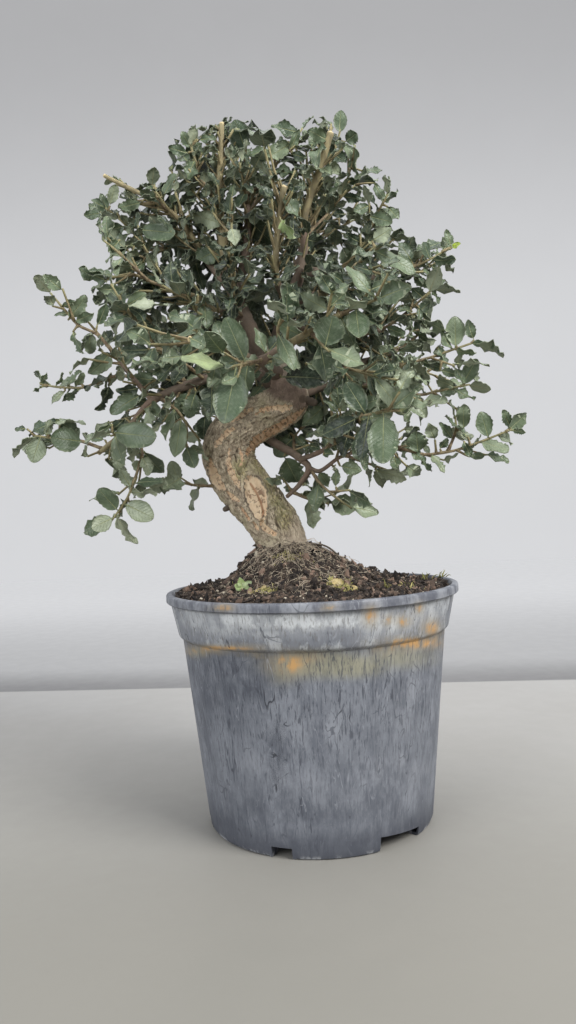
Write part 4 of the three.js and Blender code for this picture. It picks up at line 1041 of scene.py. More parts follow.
# Marks on the pot: middle in pixels, half width, half height and strength. They fade outwards, and
# none is on the back of the pot.
MARK_FADE = 0.8
FRONT_FADE = (-0.1, 0.25)
POT_MARKS = {
    "stain": [(222, 608, 9, 3, 1.0), (330, 608, 6, 3, 0.9), (288, 664, 15, 9, 1.0),
              (371, 616, 6, 8, 0.9), (388, 620, 5, 5, 0.7), (404, 621, 6, 5, 0.9),
              (419, 608, 4, 5, 0.7), (431, 628, 8, 8, 0.8),
              (228, 648, 36, 2.5, 0.8), (412, 643, 28, 5, 1.0), (385, 649, 14, 4, 0.8),
              (310, 657, 12, 4, 0.6), (195, 652, 10, 3, 0.7)],
    "chalk": [(250, 620, 34, 8, 1.1), (300, 621, 36, 8, 1.2), (345, 621, 26, 8, 0.9),
              (262, 634, 60, 5, 0.4), (196, 618, 14, 12, 0.5), (385, 622, 30, 12, 0.7),
              (425, 612, 14, 16, 0.6), (230, 628, 30, 9, 0.5)],
    "olive": [(320, 664, 56, 14, 0.9), (345, 666, 45, 12, 0.9), (200, 652, 13, 7, 0.6),
              (400, 658, 40, 12, 0.7), (284, 672, 20, 15, 0.6)],
    "shade": [(243, 688, 22, 13, 1.15), (230, 668, 24, 13, 1.15), (212, 690, 12, 22, 0.7),
              (262, 662, 14, 6, 0.5), (330, 812, 48, 14, 0.6), (235, 820, 30, 22, 0.8),
              (420, 826, 24, 12, 0.9), (395, 690, 10, 18, 0.4), (290, 845, 60, 12, 0.7),
              (370, 840, 40, 14, 0.7)],
    "scuff": [(388, 772, 34, 16, 0.8), (300, 782, 26, 12, 0.6), (345, 800, 40, 10, 0.5),
              (410, 700, 14, 40, 0.5), (330, 720, 30, 20, 0.4), (250, 760, 24, 14, 0.35)],
    "split": [(276, 732, 14, 14, 1.0), (279, 770, 10, 24, 1.0), (268, 700, 12, 12, 0.7),
              (345, 715, 22, 12, 0.6)],
}


# How far each pixel is from the middle of an oval, squared: 1 on the oval itself
def oval_reach(pixels, across, down, half_width, half_height):
    return ((pixels[:, 0] - across) / half_width) ** 2 + ((pixels[:, 1] - down) / half_height) ** 2


def pot_measures(pot):
    points = mesh_points(pot.data)
    pixels = to_pixels(points)
    facing = smooth_step(*FRONT_FADE, -points[:, 1] / RIM_RADIUS)
    for name, marks in POT_MARKS.items():
        found = np.zeros(len(points))
        for across, down, half_width, half_height, strength in marks:
            reach = oval_reach(pixels, across, down, half_width, half_height)
            found = np.maximum(found, strength * facing * np.exp(-reach * MARK_FADE))
        write_measure(pot.data, name, found)


def pot_material():
    plastic = Recipe("weathered_plastic")
    mix, span, times, measure = plastic.mix, plastic.span, plastic.times, plastic.measure
    height = plastic.node("ShaderNodeSeparateXYZ", Vector=plastic.place).outputs["Z"]
    stain, chalk, olive, shade, scuff, split = map(measure, POT_MARKS)
    broad = plastic.noise(26, detail=5, roughness=0.6)
    clouds = plastic.noise(70, plastic.scaled((1, 1, 0.5)), detail=6, roughness=0.7)
    streaks = plastic.noise(95, plastic.scaled((1, 1, 0.12)), detail=5, roughness=0.65)
    hair = plastic.noise(760, plastic.scaled((1, 1, 0.05)), detail=4, roughness=0.65, distortion=0.5)
    slanted = plastic.noise(430, plastic.scaled((1, 1, 0.1)), detail=5, roughness=0.7, distortion=1.6)
    fine = plastic.noise(900, detail=4, roughness=0.7)
    tone = mix(span(clouds, 0.36, 0.66), (100, 104, 113), (134, 138, 146))
    tone = mix(span(broad, 0.4, 0.65, 0.0, 0.45), tone, (112, 116, 124))
    tone = mix(span(streaks, 0.47, 0.3, 0.0, 0.4), tone, (80, 84, 93))
    mossy = mix(span(clouds, 0.35, 0.6), (122, 120, 100), (150, 146, 120))
    tone = mix(span(olive, 0.1, 0.8, 0.0, 0.75), tone, mossy)
    marbled = times(shade, span(clouds, 0.7, 0.4, 0.4, 1.15), hold=True)
    tone = mix(times(marbled, 0.8), tone, (70, 74, 84))
    rubbed = times(scuff, span(clouds, 0.4, 0.62, 0.2, 1.2), hold=True)
    tone = mix(times(rubbed, 0.5), tone, (150, 153, 160))
    upper = span(height, 0.02, 0.12, 0.35, 1.0)
    scratched = times(upper, span(hair, 0.52, 0.63))
    tone = mix(times(scratched, 0.85), tone, (68, 71, 80))
    brushed = times(span(slanted, 0.6, 0.7), span(broad, 0.4, 0.6))
    tone = mix(times(brushed, 0.55), tone, (78, 82, 92))
    tone = mix(span(hair, 0.4, 0.3, 0.0, 0.35), tone, (164, 167, 173))
    collar_foot = (POT_HEIGHT - COLLAR_HEIGHT) / METRE
    lip_foot = (POT_HEIGHT - LIP_HEIGHT) / METRE
    collar = times(span(height, collar_foot - 0.003, collar_foot + 0.001),
                   span(height, lip_foot + 0.0005, lip_foot - 0.0015))
    around = times(collar, span(clouds, 0.42, 0.62, 0.0, 0.5))
    chalky = times(chalk, span(streaks, 0.3, 0.6, 0.7, 1.4), hold=True)
    chalky = times(collar, plastic.math("MAXIMUM", chalky, around))
    tone = mix(plastic.math("MAXIMUM", chalky, around), tone, (206, 209, 211))
    drips = times(collar, span(hair, 0.52, 0.66, 0.0, 0.6))
    tone = mix(drips, tone, (116, 112, 108))
    worn_collar = times(collar, span(clouds, 0.5, 0.38, 0.0, 0.6))
    tone = mix(worn_collar, tone, (128, 131, 138))
    lip = span(height, lip_foot - 0.001, lip_foot + 0.0003)
    lip_tone = mix(span(clouds, 0.38, 0.64), (92, 95, 104), (142, 145, 151))
    tone = mix(lip, tone, lip_tone)
    under = times(span(height, collar_foot - 0.009, collar_foot - 0.0045),
                  span(height, collar_foot + 0.0015, collar_foot - 0.0025))
    grime = plastic.noise(60, plastic.scaled((1, 1, 0.5)), detail=5, roughness=0.7)
    tone = mix(times(under, span(grime, 0.35, 0.6, 0.0, 0.6)), tone, (84, 82, 78))
    line_stain = times(under, span(grime, 0.5, 0.62, 0.0, 0.35))
    marks = times(stain, span(grime, 0.34, 0.56, 0.25, 1.3), hold=True)
    stains = plastic.math("MAXIMUM", line_stain, marks)
    ochre = mix(span(marks, 0.3, 0.9), (158, 144, 116), (190, 150, 98))
    tone = mix(stains, tone, ochre)
    # Scratches: scale, stretch, width, bend, where they are, strength and tone
    drawn = [(150, 0.09, 0.016, 0.0, span(streaks, 0.5, 0.62), 0.75, (62, 65, 74)),
             (62, 0.4, 0.012, 0.8, span(clouds, 0.5, 0.6), 0.6, (66, 69, 78)),
             (110, 0.16, 0.012, 0.5, span(clouds, 0.5, 0.36), 0.5, (160, 163, 170)),
             (48, 0.7, 0.02, 1.5, span(split, 0.25, 0.6), 0.85, (46, 48, 56))]
    for scale, stretch, width, bend, where, strength, shade_of_line in drawn:
        scratch = times(plastic.lines(scale, (1, 1, stretch), width, bend), where)
        tone = mix(times(scratch, strength), tone, shade_of_line)
    warp = plastic.node("ShaderNodeTexNoise", Scale=60.0).outputs["Color"]
    net = plastic.cells(75, mix(0.12, plastic.place, warp, "LINEAR_LIGHT"))
    cracked = times(span(net, 0.045, 0.012), span(split, 0.4, 0.75))
    tone = mix(times(cracked, span(streaks, 0.4, 0.55)), tone, (46, 48, 55))
    foot = span(height, 0.03, 0.002, 0.0, 0.7)
    tone = mix(foot, tone, (72, 75, 84))
    worn = times(span(height, 0.004, 0.001), span(clouds, 0.5, 0.6, 0.0, 0.7))
    tone = mix(worn, tone, (170, 172, 176))
    plastic.set("Base Color", tone)
    plastic.set("Roughness", span(streaks, 0.3, 0.7, 0.5, 0.7))
    plastic.set("Specular IOR Level", 0.4)
    plastic.bump(streaks, 0.2, 0.0006)
    plastic.bump(hair, 0.25, 0.0003)
    plastic.bump(fine, 0.2, 0.0002)
    return plastic.material


pot = make_pot()
pot_measures(pot)
pot.data.materials.append(pot_material())
pot.data.polygons.foreach_set("use_smooth", [True] * len(pot.data.polygons))
pot.data.set_sharp_from_angle(angle=SHARP_ANGLE)
finish_piece(pot, "pot_plastic", "pot")


# Soil

def soil_height(x, y):
    dx = x - MOUND_CENTRE[0]
    dy = y - MOUND_CENTRE[1]
    distance = np.hypot(dx, dy)
    rightness = (1 + dx / np.maximum(distance, 1e-6)) / 2
    spread = lerp(MOUND_SPREAD[0], MOUND_SPREAD[1], rightness)
    steepness = lerp(MOUND_STEEPNESS[0], MOUND_STEEPNESS[1], rightness)
    slope = SOIL_RISE * np.maximum(0, 1 - distance / SOIL_SLOPE_RADIUS)
    mound = MOUND_RISE * np.exp(-((distance / spread) ** steepness))
    waves = SOIL_WAVE * np.sin(x / SOIL_WAVE_LENGTHS[0]) * np.cos(y / SOIL_WAVE_LENGTHS[1])
    return SOIL_EDGE + slope + mound + waves


def crumb_relief(x, y):
    clods = noise.fractal(Vector((x / CLOD_SIZE, y / CLOD_SIZE, 3.1)), 1.0, 2.1, 4)
    crumbs = noise.noise(Vector((x / CRUMB_SIZE, y / CRUMB_SIZE, 7.7)))
    return CLOD_HEIGHT * clods + CRUMB_HEIGHT * crumbs


def soil_surface(x, y):
    return float(soil_height(np.array(x), np.array(y))) + crumb_relief(x, y)


def make_soil(material):
    builder = MeshBuilder(["tone"])
    rings, sides = SOIL_GRID
    points = []
    for ring in range(rings):
        part = (ring + 0.5) / rings
        for x, y, _ in ring_points(part * SOIL_RADIUS, 0, sides):
            x += MOUND_CENTRE[0] * (1 - part)
            y += MOUND_CENTRE[1] * (1 - part)
            points.append([x, y, soil_surface(x, y)])
    for radius, height in SOIL_SIDE:
        points += ring_points(radius, height, sides)
    points += [[*MOUND_CENTRE, soil_surface(*MOUND_CENTRE)], [0, 0, SOIL_BOTTOM]]
    faces = [list(reversed(face)) for face in tube_faces(rings + len(SOIL_SIDE), sides)]
    builder.add(points, faces, tone=0.5)
    return builder.make("soil_mound", [material])


# A crumb is a rough ball of twenty faces
ICO = (1 + math.sqrt(5)) / 2
BALL_SIZE = 1.9
BALL = np.array([
    [-1, ICO, 0], [1, ICO, 0], [-1, -ICO, 0], [1, -ICO, 0], [0, -1, ICO], [0, 1, ICO],
    [0, -1, -ICO], [0, 1, -ICO], [ICO, 0, -1], [ICO, 0, 1], [-ICO, 0, -1], [-ICO, 0, 1],
]) / BALL_SIZE
BALL_FACES = [
    [0, 11, 5], [0, 5, 1], [0, 1, 7], [0, 7, 10], [0, 10, 11], [1, 5, 9], [5, 11, 4], [11, 10, 2],
    [10, 7, 6], [7, 1, 8], [3, 9, 4], [3, 4, 2], [3, 2, 6], [3, 6, 8], [3, 8, 9], [4, 9, 5],
    [2, 4, 11], [6, 2, 10], [8, 6, 7], [9, 8, 1],
]
CRUMBS = 6800
CRUMB_SEED = 11
CRUMB_SIZES = (0.5, 2.6)
CRUMB_STRETCH = (0.6, 1.3)
CRUMB_ROUGHNESS = 0.28
CRUMB_TONES = [0.0, 0.15, 0.45, 0.62, 0.8]
CRUMB_TONE_SHARES = [0.36, 0.2, 0.18, 0.14, 0.12]
FLAKE_FROM = 0.8
FLAKE_STRETCH = (2.6, 0.5)
PALE_FROM = 0.965
PALE_MOST = 1.1


# The place on the soil that a pixel shows
def on_soil(across, down):
    for forward in np.arange(-SOIL_RADIUS, 0, 0.5):
        point = from_pixel(across, down, forward)
        if point[2] <= soil_height(point[0], point[1]):
            break
    return point


def make_crumbs(material):
    random = np.random.default_rng(CRUMB_SEED)
    builder = MeshBuilder(["tone"])
    for _ in range(CRUMBS):
        angle = random.uniform(0, FULL_TURN)
        radius = (SOIL_RADIUS - 1.5) * math.sqrt(random.uniform(0, 1))
        x, y = radius * math.cos(angle), radius * math.sin(angle)
        size = lerp(*CRUMB_SIZES, random.uniform(0, 1) ** 3)
        is_flake = random.uniform(0, 1) > FLAKE_FROM
        is_pale = random.uniform(0, 1) > PALE_FROM
        stretch = random.uniform(*CRUMB_STRETCH, 3) * (min(size, PALE_MOST) if is_pale else size)
        if is_flake:
            stretch[:2] *= FLAKE_STRETCH
        roughness = random.uniform(-CRUMB_ROUGHNESS, CRUMB_ROUGHNESS, (len(BALL), 1))
        turn = np.linalg.qr(random.normal(size=(3, 3)))[0]
        z = soil_surface(x, y) + 0.25 * size
        tone = 1.0 if is_pale else random.choice(CRUMB_TONES, p=CRUMB_TONE_SHARES)
        shape = BALL * (1 + roughness) * stretch
        builder.add(shape @ turn + [x, y, z], BALL_FACES, smooth=False, tone=tone)
    return builder.make("soil_crumbs", [material])


def wander(random, start, direction, length, steps, wobble, droop=0.0):
    points = [vector(start)]
    heading = unit(vector(direction))
    for _ in range(steps):
        heading = unit(heading + random.normal(0, wobble, 3) + [0, 0, -droop])
        points.append(points[-1] + heading * length / steps)
    return np.array(points)


def settle(points, lift, highest):
    for point in points:
        ground = soil_surface(point[0], point[1]) + lift
        point[2] = clamp(point[2], ground, ground + highest)
    return points


# Fine roots lie mostly near the trunk, and two thicker ones loop out of the soil: points, radius,
# sides, rings and tone
ROOTS = 2100
ROOT_SEED = 41
ROOT_REACH = (16, 74)
ROOT_LENGTH = (5, 17)
LONG_ROOT_LENGTH = (12, 24)
ROOT_RADIUS = (0.13, 0.3)
ROOT_STEPS = 7
ROOT_WOBBLE = 0.38
ROOT_DROOP = 0.12
DARK_ROOTS = 0.45
DARK_ROOT_TONES = (0.1, 0.6)
PALE_ROOT_TONES = (0.75, 1.0)
ROOT_LOOPS = [
    ([[-2, -4, 204], [4, -7, 209], [12, -10, 208], [20, -13, 202], [25, -15, 194], [27, -16, 189]],
     0.7, 6, 24, 0.35),
    ([[-44, -3, 196], [-49, -6, 199], [-50, -9, 194], [-47, -12, 187]], 0.45, 5, 16, 0.5),
]


def make_roots(material):
    random = np.random.default_rng(ROOT_SEED)
    builder = MeshBuilder(["tone"])
    for index in range(ROOTS):
        angle = random.uniform(0, FULL_TURN) if index % 3 else random.normal(-1.1, 0.6)
        distance = lerp(*ROOT_REACH, random.uniform(0, 1) ** 1.8)
        x = MOUND_CENTRE[0] + distance * math.cos(angle)
        y = MOUND_CENTRE[1] + distance * math.sin(angle)
        if math.hypot(x, y) > SOIL_RADIUS - 8:
            continue
        heading = angle + random.normal(0, 0.9)
        start = [x, y, soil_surface(x, y) + 0.3]
        length = random.uniform(*(ROOT_LENGTH if index % 6 else LONG_ROOT_LENGTH))
        direction = [math.cos(heading), math.sin(heading), random.uniform(-0.2, 0.3)]
        path = wander(random, start, direction, length, ROOT_STEPS, ROOT_WOBBLE, ROOT_DROOP)
        path = settle(path, 0.2 + 0.7 * random.uniform(0, 1), 1.2 if index % 12 else 5.0)
        radius = random.uniform(*ROOT_RADIUS)
        is_dark = random.uniform(0, 1) < DARK_ROOTS
        tone = random.uniform(*(DARK_ROOT_TONES if is_dark else PALE_ROOT_TONES))
        add_tube(builder, path, np.linspace(radius, radius * 0.4, len(path)), 3, tone=tone)
    for loop, radius, sides, rings, tone in ROOT_LOOPS:
        path = curve_points(loop, np.linspace(0, 1, rings))
        add_tube(builder, path, np.full(rings, radius), sides, tone=tone)
    return builder.make("surface_roots", [material])


# Moss: the pixel or the place of a patch, its spread across and away, and its number of stems
MOSS_SEED = 7
MOSS_IN_SIGHT = [(336, 584, 6, 5, 330), (346, 590, 5, 3, 110), (262, 592, 8, 3, 110),
                 (408, 588, 9, 3, 70), (292, 556, 9, 4, 130)]
MOSS_BEHIND = [(-64, 40, 14, 10, 200), (40, 60, 12, 14, 200)]
MOSS_RADII = [0.34, 0.42, 0.3, 0.08]
MOSS_LENGTH = (1.4, 3.4)
MOSS_WOBBLE = 0.25

# Grass and weeds: pixel of the root and number of blades
SPRIGS = [(440, 577, 9), (428, 579, 5), (411, 586, 5), (388, 588, 4), (352, 583, 5), (232, 590, 4)]
SPRIG_RADII = [0.3, 0.4, 0.42, 0.35, 0.2, 0.06]
SPRIG_LENGTH = (4, 8)
SPRIG_WOBBLE = 0.2
SPRIG_TONES = (-0.6, 0.2)
SUNK = 0.4


# A stem of moss or grass that stands on the soil
def add_stem(builder, random, start, lean, length, radii, wobble, tones):
    direction = [random.normal(0, lean[0]), random.normal(0, lean[1]), 1]
    path = wander(random, start, direction, random.uniform(*length), len(radii) - 1, wobble)
    add_tube(builder, path, radii, 4, tone=random.uniform(*tones))


def make_moss(material):
    random = np.random.default_rng(MOSS_SEED)
    builder = MeshBuilder(["tone"])
    patches = [(*on_soil(*patch[:2])[:2], *patch[2:]) for patch in MOSS_IN_SIGHT] + MOSS_BEHIND
    for across, away, spread_x, spread_y, count in patches:
        for _ in range(count):
            x = across + random.normal(0, spread_x * 0.6)
            y = away + random.normal(0, spread_y * 0.6)
            if math.hypot(x, y) > SOIL_RADIUS - 3:
                continue
            start = [x, y, soil_surface(x, y) - SUNK]
            add_stem(builder, random, start, (0.4, 0.4), MOSS_LENGTH, MOSS_RADII, MOSS_WOBBLE, (0, 1))
    for across, down, count in SPRIGS:
        root = on_soil(across, down)
        for _ in range(count):
            start = root + [random.normal(0, 2.5), random.normal(0, 1.5), -SUNK]
            add_stem(builder, random, start, (0.6, 0.5), SPRIG_LENGTH, SPRIG_RADII, SPRIG_WOBBLE,
                     SPRIG_TONES)
    return builder.make("moss", [material])


def soil_material():
    soil = Recipe("potting_soil")
    mix, span, measure = soil.mix, soil.span, soil.measure
    tone = measure("tone")
    broad = soil.noise(90, detail=6, roughness=0.7)
    fine = soil.noise(900, detail=4, roughness=0.7)
    base = mix(span(broad, 0.35, 0.7), (17, 15, 16), (80, 67, 58))
    base = mix(span(fine, 0.52, 0.7, 0.0, 0.7), base, (142, 126, 108))
    speck = soil.noise(480, detail=5, roughness=0.8)
    base = mix(span(speck, 0.6, 0.7, 0.0, 0.7), base, (164, 150, 130))
    base = mix(span(tone, 0.3, 0.0, 0.0, 0.6), base, (24, 20, 21))
    base = mix(span(tone, 0.5, 0.8, 0.0, 0.75), base, (148, 124, 108))
    base = mix(span(tone, 0.9, 1.0), base, (196, 186, 168))
    soil.set("Base Color", base)
    soil.set("Roughness", span(fine, 0.3, 0.7, 0.82, 1.0))
    soil.bump(fine, 0.7, 0.0008)
    return soil.material


def root_material():
    root = Recipe("fine_roots")
    mix, span, measure = root.mix, root.span, root.measure
    tone = measure("tone")
    fine = root.noise(700, detail=3)
    base = mix(span(tone, 0.2, 1.0), (52, 42, 35), (204, 190, 168))
    base = mix(span(fine, 0.5, 0.75, 0.0, 0.5), base, (104, 86, 70))
    root.set("Base Color", base)
    root.set("Roughness", span(fine, 0.3, 0.7, 0.7, 0.9))
    return root.material


def moss_material():
    moss = Recipe("moss")
    mix, span, measure = moss.mix, moss.span, moss.measure
    tone = measure("tone")
    fine = moss.noise(500, detail=3)
    base = mix(tone, (122, 122, 66), (206, 196, 130))
    base = mix(span(fine, 0.45, 0.75, 0.0, 0.6), base, (122, 110, 70))
    moss.set("Base Color", base)
    moss.set("Roughness", span(fine, 0.3, 0.7, 0.75, 0.95))
    return moss.material


earth = soil_material()
finish_piece(make_soil(earth), "potting_soil", "soil")
finish_piece(make_crumbs(earth), "potting_soil", "soil")
finish_piece(make_roots(root_material()), "potting_soil", "soil")
finish_piece(make_moss(moss_material()), "potting_soil", "soil")


# Trunk. The fissures seen in the photograph are strokes in its pixels: points with a half width,
# the depth in millimetres and how fresh the cork is inside.

FISSURES = [
    ([(249, 477, 2), (253, 485, 9), (256, 494, 11.5), (258, 504, 10), (260, 513, 7), (261, 520, 2)],
     2.0, 1.0),
    ([(210, 459, 1.5), (212, 469, 4.4), (215, 479, 6), (220, 486, 4.4), (224, 489, 1.5)], 2.4, 0.8),
    ([(228, 492, 1), (233, 497, 2.6), (239, 501, 1.2)], 1.6, 0.85),
    ([(230, 449, 0.8), (229, 460, 1.5), (232, 472, 2.1), (237, 483, 2.4), (240, 488, 1)], -0.8, 0.8),
    ([(226, 458, 0.7), (229, 470, 1.2), (234, 480, 1)], -0.8, 0.7),
    ([(240, 449, 0.7), (242, 458, 1.2), (240, 466, 1)], -0.7, 0.5),
    ([(215, 446, 1), (220, 440, 2.8), (227, 433, 3.2), (233, 428, 1.5)], 1.6, 0.95),
    ([(232, 421, 1.5), (240, 416, 3), (249, 410.5, 2.2), (253, 409, 1)], 1.5, 0.95),
    ([(256, 414, 1), (263, 409.5, 2), (271, 407.5, 2.4), (282, 408.5, 3.4), (291, 407, 1.8)], 1.2, 0.85),
    ([(247, 453, 2), (253, 446, 4), (259, 439, 5), (268, 434, 5), (279, 427, 5), (289, 421, 4.6),
      (298, 415, 4), (305, 409, 2)], 1.4, 0.45),
    ([(254, 523, 1), (257, 527, 2), (260, 530, 1.2)], 1.4, 0.9),
    ([(261, 521, 2), (265, 528, 2.8), (271, 532, 2.8), (277, 535, 1.5)], 1.6, 0.95),
    ([(240, 506, 0.7), (245, 513, 1.4), (250, 520, 0.8)], 1.2, 0.5),
]
BAR_SPACING = 5.5

# The line along the middle of the long scar, ovals of lichen and of mauve bark, and dark spots
LENS_MIDDLE = [(251, 483, 0), (257, 492, 0), (261, 502, 0), (263, 511, 0), (262, 516, 0)]
LICHEN = [(284, 516, 9, 13), (277, 500, 8, 6), (262, 458, 10, 16), (240, 470, 7, 12), (270, 484, 8, 12)]
DARK_SPOTS = [(312, 399, 6), (226, 506, 3.5), (237, 505, 2.0), (303, 399, 5), (286, 425, 2),
              (273, 429, 1.6), (245, 428, 1.8), (263, 516, 1.6)]
MAUVE = [(290, 390, 22, 13), (272, 384, 14, 9), (300, 403, 9, 9)]

# The trunk's rings and sides, the rings over which its radius is evened out, and the seed and the
# sizes of the plates and the grains in its cork
TRUNK_GRID = (340, 176)
EVENED_RINGS = 15
BARK_SEED = 1795638446
PLATE_SIZE = 4.2
GRAIN_SIZE = 1.7

# Waves of the trunk's outline: share of its radius, waves around it and turns along it. They and the
# cork fade in above the soil and out below the fork.
TRUNK_WAVES = [(0.035, 3, 9), (0.03, 5, -14), (0.02, 2, 38)]
WAVES_FADE = ((0.1, 0.2), (0.75, 0.85))
CORK_FADE = ((0.1, 0.24), (0.76, 0.86))
TRUNK_FACING = (0.02, 0.2)

# A fissure in pixels and in shares of its half width: how ragged its edge is, where it is deep, where
# its rim stands and how high, where fresh cork covers it, its dark edge, which is partly a crack and
# partly painted shadow under the rim, the bars across it and how far around it the bark is calm
FISSURE = {
    "ragged": 2.4,
    "deep": (0.6, 1.1),
    "rim": 1.3,
    "rimHeight": 1.1,
    "covered": (0.85, 1.05),
    "edge": 1.02,
    "edgeWidth": 0.12,
    "edgeTone": 0.85,
    "barJitter": 0.16,
    "barDepth": 0.8,
    "calm": (1.0, 2.0),
}
LINE_WIDTH = 1.5
LINE_DEPTH = 0.9

# The bark is unrolled onto a tube of this radius and this share of its length before its plates are
# drawn. Warps bend them, and cracks and grains fade over these gaps.
UNROLLED_RADIUS = 20
UNROLLED_LENGTH = 0.26
WARP_SIZE = 6
WARP = 1.6
PATCH_SIZE = 3.6
CRACK_GAP = 0.12
GRAIN_GAP = 0.3

# Heights of the bark's relief
CRACK_DEPTH = 2.2
PLATE_RELIEF = 1.3
GRAIN_RELIEF = 1.1
RIPPLE_RELIEF = 0.22
FOOT_RELIEF = 0.45


def stroke_reach(pixels, stroke):
    nearest = np.full(len(pixels), 1e9)
    share = np.full(len(pixels), 1e9)
    along = np.zeros(len(pixels))
    for order in range(len(stroke) - 1):
        start, end = vector(stroke[order][:2]), vector(stroke[order + 1][:2])
        step = end - start
        part = np.clip(((pixels - start) @ step) / np.dot(step, step), 0, 1)
        distance = np.linalg.norm(pixels - start - part[:, None] * step, axis=1)
        half = lerp(stroke[order][2], stroke[order + 1][2], part)
        closer = distance - half < nearest
        nearest = np.where(closer, distance - half, nearest)
        share = np.where(closer, distance / np.maximum(half, 0.3), share)
        along = np.where(closer, (order + part) / (len(stroke) - 1), along)
    return nearest, share, along


# The strongest of several ovals at each pixel
def oval_marks(pixels, facing, ovals, steepness):
    found = np.zeros(len(pixels))
    for oval in ovals:
        found = np.maximum(found, facing * np.exp(-oval_reach(pixels, *oval) ** steepness))
    return found


# What the fissures do at each pixel: how deep they are, how fresh and how pale the cork in them is,
# their dark edges, the bars across them and how near they are
def fissure_marks(pixels, facing, jitter):
    depth, fresh, cream, dark, bars, near = (np.zeros(len(pixels)) for _ in range(6))
    ragged = pixels + (jitter * FISSURE["ragged"])[:, None]
    for stroke, deep, freshness in FISSURES:
        edge, share, run = stroke_reach(ragged, stroke)
        inside = facing * (1 - smooth_step(*FISSURE["deep"], share))
        rim = facing * np.exp(-(edge - FISSURE["rim"]) ** 2)
        depth += FISSURE["rimHeight"] * rim - deep * inside
        covered = facing * (1 - smooth_step(*FISSURE["covered"], share))
        cream = np.where(covered > fresh, freshness, cream)
        fresh = np.maximum(fresh, covered)
        # The dark edge is partly a crack and partly painted shadow under the fissure's rim
        edge_line = facing * np.exp(-((share - FISSURE["edge"]) / FISSURE["edgeWidth"]) ** 2)
        dark = np.maximum(dark, FISSURE["edgeTone"] * edge_line)
        ends = vector(stroke[-1][:2]) - vector(stroke[0][:2])
        turns = run * np.linalg.norm(ends) / BAR_SPACING + FISSURE["barJitter"] * jitter
        bar = 0.5 + 0.5 * np.sin(FULL_TURN * turns)
        bars = np.maximum(bars, inside * bar ** 3)
        near = np.maximum(near, facing * (1 - smooth_step(*FISSURE["calm"], share)))
    return depth - FISSURE["barDepth"] * bars, fresh, cream, dark, bars, near


# Plates from -1 to 1, and the cracks between them and small grains from 0 to 1, at each place of the
# unrolled bark
def plate_marks(places):
    plates, cracks, grain = (np.zeros(len(places)) for _ in range(3))
    for index, point in enumerate(places):
        place = Vector(point)
        warp = noise.noise_vector(place / WARP_SIZE) * WARP
        near = noise.voronoi((place + warp) / PLATE_SIZE)[0]
        cracks[index] = 1 - min(1, (near[1] - near[0]) / CRACK_GAP)
        plates[index] = noise.noise(place / PATCH_SIZE + Vector((5, 1, 2)))
        near = noise.voronoi((place + warp * 0.6) / GRAIN_SIZE)[0]
        grain[index] = min(1, (near[1] - near[0]) / GRAIN_GAP)
    return plates, cracks * (0.35 + 0.65 * smooth_step(-0.2, 0.35, plates)), grain


def between_fades(fades, values):
    return smooth_step(*fades[0], values) * (1 - smooth_step(*fades[1], values))


